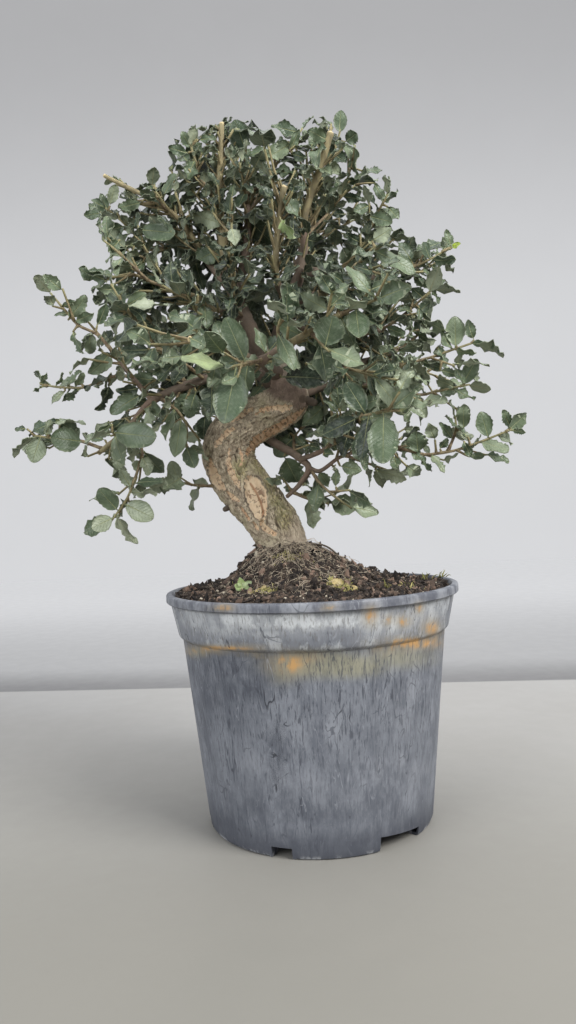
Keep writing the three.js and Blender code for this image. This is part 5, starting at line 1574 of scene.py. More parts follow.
def make_trunk(material):
    noise.seed_set(BARK_SEED)
    rings, sides = TRUNK_GRID
    places = np.linspace(0, 1, rings)
    centres = curve_points(TRUNK, places)
    side, front = carried_frames(tangents(centres))
    kernel = np.ones(EVENED_RINGS) / EVENED_RINGS
    radii = np.pad(radii_at(TRUNK, places), EVENED_RINGS // 2, mode="edge")
    radii = np.convolve(radii, kernel, mode="valid")
    turn, along = np.meshgrid(ring_angles(sides), places)
    waves = sum(height * np.sin(around * turn + onwards * along)
                for height, around, onwards in TRUNK_WAVES)
    radii = radii[:, None] * (1 + between_fades(WAVES_FADE, along) * waves)
    outwards = side[:, None, :] * np.cos(turn)[:, :, None] + front[:, None, :] * np.sin(turn)[:, :, None]
    points = (centres[:, None, :] + outwards * radii[:, :, None]).reshape(-1, 3)
    outwards = outwards.reshape(-1, 3)
    pixels = to_pixels(points)
    towards = unit_rows(CAMERA_PLACE - points)
    facing = smooth_step(*TRUNK_FACING, np.sum(outwards * towards, axis=1))
    cork = between_fades(CORK_FADE, along).reshape(-1)
    jitter = np.array([noise.fractal(Vector(point) / 2.4, 1.0, 2.0, 3) for point in points])
    ripple = np.array([noise.noise(Vector(point) / 1.3) for point in points])
    depth, fresh, cream, dark, bars, near_stroke = fissure_marks(pixels, facing, jitter)
    line = facing * np.exp(-(stroke_reach(pixels, LENS_MIDDLE)[0] / LINE_WIDTH) ** 2)
    depth -= LINE_DEPTH * line
    mauve = oval_marks(pixels, facing, MAUVE, 2)
    lichen = oval_marks(pixels, facing, LICHEN, 1)
    lengths = np.repeat(run_lengths(centres)[:, None] * UNROLLED_LENGTH, sides, axis=1)
    unrolled = [np.cos(turn) * UNROLLED_RADIUS, np.sin(turn) * UNROLLED_RADIUS, lengths]
    plates, cracks, grain = plate_marks(np.stack(unrolled, axis=2).reshape(-1, 3))
    calm = (1 - 0.85 * near_stroke) * (1 - 0.9 * mauve)
    bark = PLATE_RELIEF * plates - CRACK_DEPTH * cracks + GRAIN_RELIEF * (grain - 0.5)
    depth += cork * calm * bark
    back = (1 - facing) * cork * smooth_step(0.75, 0.95, cracks) * smooth_step(0.05, 0.35, plates)
    fresh = np.maximum(fresh, 0.8 * back)
    cream = np.where(back > 0.1, 0.6, cream)
    depth += RIPPLE_RELIEF * ripple + (1 - cork) * FOOT_RELIEF * jitter
    # Painted shade: the cork darkens where its relief sinks deepest
    hollow = cork * smooth_step(0.7, 2.2, -depth) * (1 - mauve)
    cracks = cracks * (1 - mauve) * (0.2 + 0.8 * cork)
    grain = lerp(grain, 1.0, mauve)
    for across, down, half in DARK_SPOTS:
        reach = np.hypot(pixels[:, 0] - across, pixels[:, 1] - down) / half
        dark = np.maximum(dark, facing * (1 - smooth_step(0.5, 1.2, reach)))
    found = {"crack": cracks, "fresh": fresh, "cream": cream, "dark": dark, "lichen": lichen,
             "cork": cork, "line": line, "bars": bars, "grain": grain, "mauve": mauve,
             "hollow": hollow}
    points = np.vstack([points + outwards * depth[:, None], centres[:1], centres[-1:]])
    builder = MeshBuilder(list(found))
    builder.add(points, tube_faces(rings, sides),
                **{name: np.append(values, [0, 0]) for name, values in found.items()})
    return builder.make("trunk_bark", [material])


def unit_rows(rows):
    return rows / np.linalg.norm(rows, axis=1, keepdims=True)


def bark_material():
    bark = Recipe("cork_bark")
    mix, span, times, measure = bark.mix, bark.span, bark.times, bark.measure
    crack, fresh, cream, bars, grain = map(measure, ("crack", "fresh", "cream", "bars", "grain"))
    dark, lichen, cork, line, mauve = map(measure, ("dark", "lichen", "cork", "line", "mauve"))
    broad = bark.noise(55, detail=5, roughness=0.6)
    middle = bark.noise(240, bark.scaled((1, 1, 0.6)), detail=6, roughness=0.75)
    crumbly = bark.noise(520, detail=6, roughness=0.8)
    fine = bark.noise(1300, detail=4, roughness=0.7)
    smooth_bark = mix(span(broad, 0.4, 0.65), (150, 138, 124), (184, 172, 156))
    smooth_bark = mix(span(middle, 0.45, 0.7, 0.0, 0.6), smooth_bark, (122, 104, 92))
    smooth_bark = mix(span(crumbly, 0.52, 0.7, 0.0, 0.5), smooth_bark, (206, 196, 180))
    corky = mix(span(middle, 0.36, 0.6), (150, 136, 116), (216, 202, 176))
    corky = mix(span(broad, 0.48, 0.68, 0.0, 0.7), corky, (178, 172, 138))
    corky = mix(span(crumbly, 0.54, 0.66, 0.0, 0.7), corky, (104, 88, 72))
    corky = mix(span(crumbly, 0.44, 0.32, 0.0, 0.6), corky, (226, 214, 190))
    corky = mix(span(grain, 0.4, 0.0, 0.0, 0.5), corky, (92, 76, 62))
    tone = mix(cork, smooth_bark, corky)
    mossy = times(span(lichen, 0.1, 0.7), span(crumbly, 0.36, 0.58))
    tone = mix(times(mossy, 0.85), tone, (196, 186, 122))
    green = times(span(lichen, 0.1, 0.6), span(middle, 0.55, 0.4, 0.0, 0.7))
    tone = mix(green, tone, (140, 142, 104))
    purple = mix(span(middle, 0.38, 0.66), (112, 92, 84), (148, 128, 116))
    tone = mix(span(mauve, 0.1, 0.8), tone, purple)
    tone = mix(span(crack, 0.3, 0.95, 0.0, 0.85), tone, (66, 51, 40))
    # Painted shade in the deepest hollows of the bark
    shaded = times(measure("hollow"), span(crumbly, 0.35, 0.6))
    tone = mix(times(shaded, 0.7), tone, (74, 58, 46))
    strands = bark.noise(430, bark.scaled((1, 1, 0.28)), detail=5, roughness=0.75, distortion=0.6)
    splits = times(bark.lines(170, (1, 1, 0.3), 0.03, 0.8), span(middle, 0.42, 0.56))
    splits = times(cork, splits)
    tone = mix(times(splits, 0.85), tone, (58, 45, 36))
    rough = times(cork, span(strands, 0.56, 0.64))
    tone = mix(times(rough, 0.7), tone, (82, 66, 52))
    pale = times(cork, span(strands, 0.42, 0.34))
    tone = mix(times(pale, 0.6), tone, (226, 208, 178))
    tan = mix(span(cream, 0.4, 0.9), (218, 176, 136), (240, 214, 178))
    tan = mix(span(middle, 0.4, 0.7, 0.0, 0.45), tan, (255, 240, 214))
    tan = mix(span(broad, 0.45, 0.7, 0.0, 0.5), tan, (206, 162, 120))
    tan = mix(span(crumbly, 0.56, 0.74, 0.0, 0.5), tan, (170, 124, 88))
    tan = mix(span(bars, 0.3, 0.9, 0.0, 0.8), tan, (128, 88, 62))
    tone = mix(span(fresh, 0.15, 0.6), tone, tan)
    tone = mix(span(line, 0.2, 0.8, 0.0, 0.85), tone, (168, 116, 78))
    # Dark fissure edges, partly cracks and partly painted shadow under their rims, and the dark spots
    edge = times(span(dark, 0.3, 0.9, 0.0, 0.9), span(crumbly, 0.3, 0.55, 0.4, 1.0))
    tone = mix(edge, tone, (58, 44, 35))
    bark.set("Base Color", mix(0.14, tone, (226, 208, 184)))
    bark.set("Roughness", span(fine, 0.3, 0.7, 0.8, 0.95))
    bark.set("Specular IOR Level", 0.25)
    bark.bump(middle, 0.5, 0.002)
    bark.bump(crumbly, 0.6, 0.001)
    bark.bump(strands, 0.6, 0.0012)
    bark.bump(fine, 0.4, 0.0004)
    return bark.material


def limb_material():
    bark = Recipe("limb_bark")
    mix, span, measure = bark.mix, bark.span, bark.measure
    age = measure("age")
    broad = bark.noise(60, detail=5, roughness=0.6)
    middle = bark.noise(260, detail=5, roughness=0.65)
    fine = bark.noise(900, detail=4, roughness=0.7)
    streaks = bark.noise(300, bark.scaled((1, 1, 0.2)), detail=3)
    young = mix(span(streaks, 0.35, 0.65), (104, 98, 66), (144, 134, 94))
    young = mix(span(middle, 0.5, 0.72, 0.0, 0.6), young, (88, 74, 56))
    old = mix(span(middle, 0.35, 0.68), (50, 40, 35), (100, 82, 70))
    old = mix(span(broad, 0.45, 0.7, 0.0, 0.5), old, (112, 82, 68))
    old = mix(span(age, 0.5, 1.0, 0.0, 0.55), old, (50, 38, 34))
    tone = mix(span(age, 0.0, 0.35), young, old)
    tone = mix(span(fine, 0.55, 0.75, 0.0, 0.3), tone, (146, 130, 112))
    tone = mix(span(age, 1.3, 1.9, 0.0, 0.85), tone, (44, 34, 31))
    tone = mix(span(measure("cut"), 0.75, 0.95), tone, (204, 186, 142))
    bark.set("Base Color", mix(0.14, tone, (226, 208, 184)))
    bark.set("Roughness", span(fine, 0.3, 0.7, 0.7, 0.9))
    bark.set("Specular IOR Level", 0.3)
    bark.bump(middle, 0.5, 0.001)
    bark.bump(fine, 0.4, 0.0004)
    return bark.material


# Limbs that are thinner than their roots suggest
SLENDER = {"leader_right": 0.72, "left_stub": 0.75, "leader_left": 0.9, "low": 0.7, "low_out": 0.62,
           "low_front": 0.7, "right": 0.75, "right_lower": 0.8, "left": 0.8, "left_rising": 0.75,
           "front_left_stub": 0.85}

# Limbs that end in a sawn stub: the share of the limb from which the bark is young and olive
SAWN = {"leader_left": 0.55, "leader_right": 0.62, "front_stub": 0.35, "left_stub": 0.35,
        "front_left_stub": 0.3, "left": 0.8, "left_middle": 0.4, "right_front": 0.5,
        "front_right": 0.3}

# Rings between two stations, the radius of a thick limb with the sides of thick and thin limbs, the
# flare at a limb's root, the share of its radius by which the bark is rough, and a knob's outline
LIMB_RINGS = 12
THICK_LIMB = 4.3
THICK_SIDES = 20
THIN_SIDES = 12
ROOT_FLARE = 0.28
LIMB_ROUGHNESS = 0.1
KNOB_RADII = np.array([1.5, 1.25, 1.05, 0.95, 0.95, 0.9, 0.7])
KNOB_SIDES = 14


def make_limbs(material):
    builder = MeshBuilder(["age", "cut"])
    for name, stations in LIMBS.items():
        sides = THICK_SIDES if stations[1][3] > THICK_LIMB else THIN_SIDES
        rings = (len(stations) - 1) * LIMB_RINGS + 1
        places = np.linspace(0, 1, rings)
        centres = curve_points(stations, places)
        radii = radii_at(stations, places) * SLENDER.get(name, 1.0)
        radii = radii * (1 + ROOT_FLARE * np.exp(-run_lengths(centres) / (radii[0] * 1.1)))
        rough = np.zeros((rings, sides))
        for ring in range(rings):
            for side, angle in enumerate(ring_angles(sides)):
                around = Vector((math.cos(angle), math.sin(angle), 0))
                rough[ring, side] = noise.fractal(Vector(centres[ring]) / 5 + around * 0.7, 1.0, 2.2, 3)
        age = np.clip((radii - 1.2) / 2.5, 0.4, 1)
        if name in SAWN:
            age = age * (1 - smooth_step(SAWN[name] - 0.15, SAWN[name] + 0.1, places))
        cut = np.where(places > 0.999, 1.0, 0.0) * (name in SAWN)
        radii = radii[:, None] * (1 + LIMB_ROUGHNESS * rough)
        add_tube(builder, centres, radii, sides, age=age, cut=cut)
    for start, end, radius in KNOBS:
        centres = np.linspace(start, end, len(KNOB_RADII))
        add_tube(builder, centres, radius * KNOB_RADII, KNOB_SIDES, age=2.0)
    return builder.make("limbs", [material])


finish_piece(make_trunk(bark_material()), "cork_bark", "trunk")
limb_bark = limb_material()
finish_piece(make_limbs(limb_bark), "cork_bark", "trunk")


# Shoots. A shoot is a list of points with a length, from its root to its tip.

class Shoot:
    def __init__(self, points, is_main, seed):
        self.points = [vector(point) for point in points]
        self.lengths = [0.0]
        for start, end in zip(self.points, self.points[1:]):
            self.lengths.append(self.lengths[-1] + np.linalg.norm(end - start))
        self.length = self.lengths[-1]
        self.is_main = is_main
        self.seed = seed

    def at(self, distance):
        index = 1
        while index < len(self.points) - 1 and self.lengths[index] < distance:
            index += 1
        span = self.lengths[index] - self.lengths[index - 1]
        part = (distance - self.lengths[index - 1]) / span
        start, end = self.points[index - 1], self.points[index]
        return start + (end - start) * part, unit(end - start)


def limb_shoot(stations):
    return Shoot([station[:3] for station in stations], True, 0)


def side_shoot_turns(shoot, index, count):
    seed = shoot.seed + SIDE_SHOOT_SEED * (index + 1)
    draw = random_stream(seed)
    distance = shoot.length * (SIDE_SHOOT["from"] + SIDE_SHOOT["span"] * (index + 0.5) / count)
    point, axis = shoot.at(distance)
    length = between(SIDE_SHOOT["length"], draw)
    lean = between(SIDE_SHOOT["lean"], draw)
    start = GOLDEN_ANGLE * index + FULL_TURN * draw()
    outwards = unit(point - CROWN_CENTRE)
    turns = []
    for turn in range(TURNS):
        away = around_axis(axis, start + turn * FULL_TURN / TURNS)
        direction = axis * math.cos(lean) + away * math.sin(lean) + outwards * SIDE_SHOOT["outwards"]
        direction[2] += SIDE_SHOOT["upwards"]
        turns.append(Shoot([point, point + unit(direction) * length], False, seed))
    return turns


def leaf_turns(shoot, distance, index, is_end):
    draw = random_stream(shoot.seed + LEAF_SEED + index)
    point, axis = shoot.at(distance)
    height_share = (point[2] - LEAF["lowestHeight"]) / (LEAF["highestHeight"] - LEAF["lowestHeight"])
    growth = lerp(*LEAF["growthByHeight"], clamp(height_share))
    length = between(LEAF["length"], draw) * growth
    width = length * between(LEAF["widthShare"], draw)
    lean = between(LEAF["endLean"] if is_end else LEAF["lean"], draw)
    start = GOLDEN_ANGLE * index + between(LEAF["twist"], draw)
    tilt = vector([draw() - 0.5, draw() - 0.5, draw() - 0.5])
    fold = between(LEAF["fold"], draw)
    curl = between(LEAF["curl"], draw)
    wave = length * between(LEAF["wave"], draw)
    phase = FULL_TURN * draw()
    outwards = unit(point - CROWN_CENTRE)
    light = outwards * LEAF["faceOutwards"] + tilt * 2 * LEAF["faceTilt"]
    light[2] += LEAF["faceUpwards"]
    light[1] -= LEAF["faceForwards"]
    turns = []
    for turn in range(TURNS):
        away = around_axis(axis, start + turn * FULL_TURN / TURNS)
        leaf_axis = unit(axis * math.cos(lean) + away * math.sin(lean) + outwards * LEAF["outwards"])
        turns.append({"base": point, "axis": leaf_axis, "face": square_to(leaf_axis, light),
                      "length": length, "width": width, "fold": fold, "curl": curl, "wave": wave,
                      "phase": phase, "teeth": MODEL_TEETH})
    return turns


def placed_leaf(shoot, at, tip, width, look, tone):
    point, _ = shoot.at(at * shoot.length)
    axis = vector(tip) - point
    length = np.linalg.norm(axis)
    axis = axis / length
    return {"base": point, "axis": axis, "face": square_to(axis, vector(look)), "length": length,
            "width": width, "fold": PLACED_SHAPE["fold"], "curl": PLACED_SHAPE["curl"],
            "wave": PLACED_SHAPE["wave"] * length, "phase": FULL_TURN * at, "teeth": PLACED_TEETH,
            "tone": tone}


def blade_profile(u):
    share = np.clip((u - STALK_SHARE) / (1 - STALK_SHARE), 0, 1)
    return lerp(STALK_WIDTH, 1, np.sin(math.pi * share) ** BLADE_ROUNDNESS)


def blade_points(leaf, u, v, reach):
    side = np.cross(leaf["face"], leaf["axis"])
    across = v * reach * 0.5 * leaf["width"] * blade_profile(u)
    phase = leaf["phase"] + np.where(v < 0, OTHER_SIDE_PHASE, 0)
    ripple = leaf["wave"] * v * v * np.sin(RIPPLES * u + phase)
    rise = leaf["fold"] * np.abs(across) + ripple - leaf["curl"] * leaf["length"] * u * u
    turn = leaf.get("turn", 0.0) * u
    sweep = leaf.get("sweep", 0.0) * leaf["length"] * u * u
    sideways = across * np.cos(turn) - rise * np.sin(turn) + sweep
    upwards = across * np.sin(turn) + rise * np.cos(turn)
    return (leaf["base"] + leaf["axis"] * (leaf["length"] * u)[..., None] + side * sideways[..., None]
            + leaf["face"] * upwards[..., None]), across


# Faces of a closed sheet of leaf: its upper side, its underside and its rim
def sheet_faces(rows, columns):
    count = rows * columns
    upper = [list(reversed(face)) for face in grid_faces(rows, columns, False)]
    lower = [[corner + count for corner in reversed(face)] for face in upper]
    loop = [row * columns for row in range(rows)]
    loop += [(rows - 1) * columns + column for column in range(1, columns)]
    loop += [row * columns + columns - 1 for row in range(rows - 2, -1, -1)]
    loop += [column for column in range(columns - 2, 0, -1)]
    rim = []
    for order, corner in enumerate(loop):
        following = loop[(order + 1) % len(loop)]
        rim.append([corner, following, following + count, corner + count])
    return upper + lower + rim, [True] * (len(upper) + len(lower)) + [False] * len(rim)


# Rows of a blade from its root to its tip, how far its teeth stand out at each, and its columns
class Blade:
    def __init__(self, rows, teeth, columns):
        self.along, self.across = np.meshgrid(rows, columns, indexing="ij")
        self.teeth = np.array(teeth)[:, None] * (np.abs(self.across) > 0.9)
        self.faces, self.smooth = sheet_faces(len(rows), len(columns))


LARGE_BLADE = Blade(
    [0, 0.05, 0.1, 0.14, 0.2, 0.26, 0.34, 0.42, 0.5, 0.58, 0.66, 0.74, 0.81, 0.87, 0.93, 0.97, 1],
    [0, 0, 0, 0, -0.2, 0.7, -0.7, 1, -0.8, 1, -0.8, 1, -0.7, 0.9, -0.5, 0.4, 0],
    [-1, -0.6, 0, 0.6, 1])
SMALL_BLADE = Blade(
    [0, 0.09, 0.21, 0.32, 0.43, 0.54, 0.65, 0.75, 0.85, 0.94, 1],
    [0, 0, -0.2, 0.8, -0.7, 1, -0.8, 1, -0.6, 0.5, 0],
    [-1, 0, 1])


# Painted light and shade: leaves inside the crown are darker than those at its rim, and low leaves are
# the palest, while a random spread gives each leaf its own tone
CROWN_REACH = np.array([150.0, 170.0, 150.0])
LOW_LEAVES = (390, 300)
OUTER_PAINTED_LIGHT = 0.48
LOW_PAINTED_LIGHT = 0.12
TONE_SPREAD = 0.34
PALEST = 0.85


def leaf_tone_and_shade(point, draw):
    distance = np.linalg.norm((point - CROWN_CENTRE) / CROWN_REACH)
    outer = float(smooth_step(0.3, 1.0, distance))
    low = float(smooth_step(*LOW_LEAVES, point[2]))
    return clamp(OUTER_PAINTED_LIGHT * outer + LOW_PAINTED_LIGHT * low + TONE_SPREAD * (draw() - 0.5), 0.0, PALEST)


# The most that a fine leaf is wider on one side, how far its rim turns down and its teeth turn up,
# each as a share of its width, and its thickness from its root to its tip
SKEW = 0.06
RIM_ROLL = -0.06
TOOTH_LIFT = 0.35
THICKNESS_PLACES = [0, 0.1, 0.2, 1]
THICKNESS = [0.9, 0.8, 0.5, 0.36]
LEAF_MEASURES = ["along", "across", "size", "under", "tone", "rim"]


def add_fine_leaf(builder, leaf, draw):
    blade = LARGE_BLADE if leaf["teeth"] in (PLACED_TEETH, SEEN_TEETH) else SMALL_BLADE
    u, v = blade.along, blade.across
    toothiness = lerp(*leaf["teeth"], draw())
    skew = SKEW * (draw() - 0.5)
    tone = leaf["tone"] if "tone" in leaf else leaf_tone_and_shade(leaf["base"], draw)
    side_share = 1 + np.where(v < 0, skew, -skew)
    taper = TAPER * draw() * (leaf["teeth"] is not PLACED_TEETH)
    reach = (1 + toothiness * blade.teeth) * side_share * (1 - taper * smooth_step(0.45, 1.0, u))
    points, across = blade_points(leaf, u, v, reach)
    roll = RIM_ROLL * leaf["width"] * np.abs(v) ** 3 * blade_profile(u)
    roll = roll + TOOTH_LIFT * toothiness * leaf["width"] * blade.teeth
    points = points + leaf["face"] * roll[..., None]
    lift = leaf["face"] * (np.interp(u, THICKNESS_PLACES, THICKNESS) / 2)[..., None]
    upper = (points + lift).reshape(-1, 3)
    lower = (points - lift).reshape(-1, 3)
    along = np.concatenate([u.ravel()] * 2)
    width = np.concatenate([across.ravel()] * 2)
    size = np.full(len(along), leaf["length"])
    under = np.concatenate([np.zeros(u.size), np.ones(u.size)])
    rim = np.concatenate([np.maximum(np.abs(v), u ** 4).ravel()] * 2)
    builder.add(np.vstack([upper, lower]), blade.faces, material=0, smooth=blade.smooth,
                along=along, across=width, size=size, under=under, tone=tone, rim=rim)


# A twig has a ring about every 4 mm, swells a little along its length and more at its root, and has
# more sides where it is a main one
TWIG_RING_EVERY = 4
TWIG_LEAST_RINGS = 4
TWIG_SWELL = 0.08
TWIG_ROOT_SWELL = 1.35
TWIG_TONE = 0.6
TWIG_SIDES = {True: 5, False: 4}


def add_twig(builder, shoot, root_radius):
    count = max(TWIG_LEAST_RINGS, int(shoot.length / TWIG_RING_EVERY))
    places = np.linspace(0, 1, count)
    centres = np.array([shoot.at(place * shoot.length)[0] for place in places])
    if len(shoot.points) > 2:
        smoothed = centres.copy()
        smoothed[1:-1] = (centres[:-2] + 2 * centres[1:-1] + centres[2:]) / 4
        centres = smoothed
    radii = lerp(root_radius, TWIG_TIP_RADIUS, places)
    radii = radii * (1 + TWIG_SWELL * np.sin(places * shoot.length * 1.1 + shoot.seed))
    radii[0] *= TWIG_ROOT_SWELL
    add_tube(builder, centres, radii, TWIG_SIDES[shoot.is_main], material=1, along=places,
             tone=0.0 if shoot.is_main else TWIG_TONE)


# Clearance between leaves, kept as sample points over every blade placed so far: the places of the
# samples on a blade, the clearance between leaves, from wood and above the soil, and how far past
# the solids' box a leaf may reach

SAMPLE_U = np.array([0.3, 0.3, 0.55, 0.55, 0.55, 0.8, 0.8, 0.97])
SAMPLE_V = np.array([-0.7, 0.7, -0.85, 0, 0.85, -0.7, 0.7, 0])
CLEARANCE = 2.1
WOOD_CLEARANCE = 0.8
SOIL_CLEARANCE = 3
BOX_MARGIN = 7
SEEN_CLEARANCE = 1.4
MOST_SAMPLES = 60000
TRUNK_RELIEF = 1.5
LIMB_RELIEF = 0.6


# Where the photograph allows the leaves that fill the crown, for every pixel of its frame
def crown_mask():
    down, across = np.mgrid[0:IMAGE_HEIGHT, 0:IMAGE_WIDTH]
    inside = np.zeros(down.shape, dtype=bool)
    for start, end in zip(CROWN_OUTLINE, CROWN_OUTLINE[1:] + CROWN_OUTLINE[:1]):
        if start[1] != end[1]:
            crosses = (start[1] > down) != (end[1] > down)
            at = start[0] + (down - start[1]) * (end[0] - start[0]) / (end[1] - start[1])
            inside ^= crosses & (across < at)
    for middle_across, middle_down, radius in CROWN_GAPS:
        inside &= np.hypot(across - middle_across, down - middle_down) > radius
    return inside


# How far forward the wood in sight is at every pixel. No stroke is wider than the margin.
STROKE_MARGIN = 32
FAR_BACK = -1e9


def wood_mask():
    down, across = np.mgrid[0:IMAGE_HEIGHT, 0:IMAGE_WIDTH]
    pixels = np.stack([across.ravel(), down.ravel()], axis=1)
    forward = np.full(len(pixels), FAR_BACK)
    for stroke, place in WOOD_IN_SIGHT:
        box = vector([point[:2] for point in stroke])
        low, high = box.min(axis=0) - STROKE_MARGIN, box.max(axis=0) + STROKE_MARGIN
        near = ((pixels > low) & (pixels < high)).all(axis=1)
        edge, _, _ = stroke_reach(pixels[near], stroke)
        covered = np.where(near)[0][edge < 0]
        forward[covered] = np.maximum(forward[covered], place)
    return forward.reshape(IMAGE_HEIGHT, IMAGE_WIDTH)


CROWN_MASK = crown_mask()
WOOD_MASK = wood_mask()


# The columns and rows of the pixels that show the points, kept inside the frame by a margin
def whole_pixels(points, margin):
    pixels = np.rint(to_pixels(points)).astype(int)
    pixels = np.clip(pixels, margin, [IMAGE_WIDTH - 1 - margin, IMAGE_HEIGHT - 1 - margin])
    return pixels[:, 0], pixels[:, 1]


def in_view(samples):
    across, down = whole_pixels(samples, 0)
    return CROWN_MASK[down, across].all() and (samples[:, 1] > WOOD_MASK[down, across]).all()


BLADE_U, BLADE_V = np.meshgrid(np.linspace(0.15, 1, 9), np.linspace(-0.9, 0.9, 5), indexing="ij")


def blade_pixels(leaf):
    return whole_pixels(blade_points(leaf, BLADE_U, BLADE_V, 1.0)[0].reshape(-1, 3), 1)


# Leaves that fill the crown stay behind a leaf that is seen
def keep_in_sight(leaf):
    across, down = blade_pixels(leaf)
    forward = max(leaf["base"][1], leaf["base"][1] + leaf["axis"][1] * leaf["length"])
    for shift_across in (-1, 0, 1):
        for shift_down in (-1, 0, 1):
            rows, columns = down + shift_down, across + shift_across
            WOOD_MASK[rows, columns] = np.maximum(WOOD_MASK[rows, columns], forward)


class Room:
    def __init__(self, low, high):
        self.samples = np.zeros((MOST_SAMPLES, 3))
        self.used = 0
        self.low = low
        self.high = high
        self.wood = []
        self.wood_radii = []
        self.cover = np.zeros((IMAGE_HEIGHT, IMAGE_WIDTH), dtype=bool)

    def add_wood(self, stations, extra):
        places = np.linspace(0, 1, (len(stations) - 1) * 8)
        self.wood.append(curve_points(stations, places))
        self.wood_radii.append(radii_at(stations, places) + extra)

    def close_wood(self):
        self.wood = np.concatenate(self.wood)
        self.wood_radii = np.concatenate(self.wood_radii)

    def points(self, leaf):
        return blade_points(leaf, SAMPLE_U, SAMPLE_V, np.ones(len(SAMPLE_U)))[0]

    def free(self, leaf, clearance, masked=True):
        samples = self.points(leaf)
        if (samples < self.low).any() or (samples > self.high).any():
            return False
        if (samples[:, 2] < soil_height(samples[:, 0], samples[:, 1]) + SOIL_CLEARANCE).any():
            return False
        if masked and not in_view(samples):
            return False
        middle = leaf["base"] + leaf["axis"] * leaf["length"] / 2
        near = np.linalg.norm(self.wood - middle, axis=1) < leaf["length"] + self.wood_radii
        if near.any():
            apart = np.linalg.norm(samples[:, None] - self.wood[near][None], axis=2)
            if (apart < self.wood_radii[near] + WOOD_CLEARANCE).any():
                return False
        taken = self.samples[:self.used]
        near = np.abs(taken - middle).max(axis=1) < leaf["length"] * 0.6 + clearance + 8
        if near.any():
            apart = np.linalg.norm(samples[:, None] - taken[near][None], axis=2)
            if (apart < clearance).any():
                return False
        return True

    def take(self, leaf):
        samples = self.points(leaf)
        self.samples[self.used:self.used + len(samples)] = samples
        self.used += len(samples)
        across, down = blade_pixels(leaf)
        for shift in (-1, 0, 1):
            self.cover[down + shift, across] = True
            self.cover[down, across + shift] = True

    def bare_share(self, leaf):
        across, down = blade_pixels(leaf)
        return 1 - self.cover[down, across].mean()


# How near a point of the solids has to be for a leaf or a side shoot to be in them
SAME_TIP = 0.3
SAME_SHOOT = 0.9


def nearest_gap(points, place):
    return np.linalg.norm(points - place, axis=1).min()


def modelled(leaf, points):
    tip = leaf["base"] + (leaf["axis"] - leaf["face"] * leaf["curl"]) * leaf["length"]
    lift = leaf["face"] * BLADE / 2
    return min(nearest_gap(points, tip + lift), nearest_gap(points, tip - lift)) < SAME_TIP


# The rule for the twigs and leaves that fill the crown beyond those of the solids. The inner ones
# start on the limbs.
EXTRA_SHOOT_SEED = 900000
EXTRA_OWNER_SEED = 9000
EXTRA_PATH_SEED = 700
EXTRA_TWIG_SEED = 131
EXTRA = {
    "every": 9.0,
    "from": 0.12,
    "length": (9, 22),
    "lean": (0.7, 1.2),
    "outwards": 0.4,
    "upwards": 0.12,
    "bend": 0.2,
    "leafEvery": 4.4,
    "bare": 3.0,
    "size": (0.5, 0.85),
    "sizeSpread": (0.85, 1.15),
}
INNER_LENGTH = (12, 34)
INNER_FROM = {True: 0.35, False: 0.25}
INNER_EVERY = {True: 2.4, False: 3.6}
THICK_ROOT = 6
HIGH_LIMB = 440
FILL_WIDTH = (0.85, 1.1)
FILL_CURL = (-0.15, 0.35)
FILL_WAVE = (1.1, 2.2)
FILL_TURN = (-0.9, 0.9)
FILL_SWEEP = (-0.14, 0.14)
RULE_SIZE = (0.62, 0.9)


def extra_shoots(shoot, start, every, seed, lengths):
    shoots = []
    count = max(1, int((shoot.length - start) / every))
    for index in range(count):
        twig_seed = seed + EXTRA_TWIG_SEED * index
        draw = random_stream(twig_seed)
        distance = start + (index + 0.2 + 0.6 * draw()) * (shoot.length - start) / count
        point, axis = shoot.at(min(distance, shoot.length - 2))
        length = between(lengths, draw)
        lean = between(EXTRA["lean"], draw)
        away = around_axis(axis, GOLDEN_ANGLE * index + 1.5 * draw() + seed)
        outwards = unit(point - CROWN_CENTRE)
        direction = axis * math.cos(lean) + away * math.sin(lean) + outwards * EXTRA["outwards"]
        direction[2] += EXTRA["upwards"]
        middle = point + unit(direction) * length / 2
        direction = unit(direction) + (outwards + [0, 0, 1]) * EXTRA["bend"]
        end = middle + unit(direction) * length / 2
        shoots.append(Shoot([point, middle, end], False, twig_seed + 7))
    return shoots


# The crown is dense in the middle of the view and airy towards its rim
DENSE_MIDDLE = (265, 270)
DENSE_REACH = (95, 215)
AIRY_SHARE = 0.14


# Pixels between a point and the middle of the crown's view
def off_middle(point):
    pixel = to_pixels(point[None])[0]
    return math.hypot(pixel[0] - DENSE_MIDDLE[0], pixel[1] - DENSE_MIDDLE[1])


def kept_share(point):
    part = clamp((off_middle(point) - DENSE_REACH[0]) / (DENSE_REACH[1] - DENSE_REACH[0]))
    return lerp(1.0, AIRY_SHARE, part)


def seen_leaf(base, row, forward, shift, draw):
    tip = from_pixel(row[2], row[3], forward + shift)
    reach = tip - base
    length = np.linalg.norm(reach)
    axis = reach / length
    width = row[4] * (base[1] - CAMERA_PLACE[1]) / FOCAL_PIXELS
    whole = max(width, SEEN_LEAST_WIDTH * length)
    tilt = math.acos(min(1.0, width / whole)) * (1 if draw() > 0.5 else -1)
    lean = vector([draw() - 0.5, 0, draw() - 0.3]) * SEEN_TILT
    face = square_to(axis, unit(CAMERA_PLACE - base) + lean)
    face = face * math.cos(tilt) + np.cross(axis, face) * math.sin(tilt)
    return {"base": base, "axis": axis, "face": face, "length": length,
            "width": whole * SEEN_WIDTH_SHARE,
            "fold": between(SEEN_FOLD, draw), "curl": between(SEEN_CURL, draw),
            "wave": length * between(SEEN_WAVE, draw), "phase": FULL_TURN * draw(),
            "turn": between(SEEN_TURN, draw), "sweep": between(SEEN_SWEEP, draw),
            "teeth": SEEN_TEETH, "tone": row[5]}


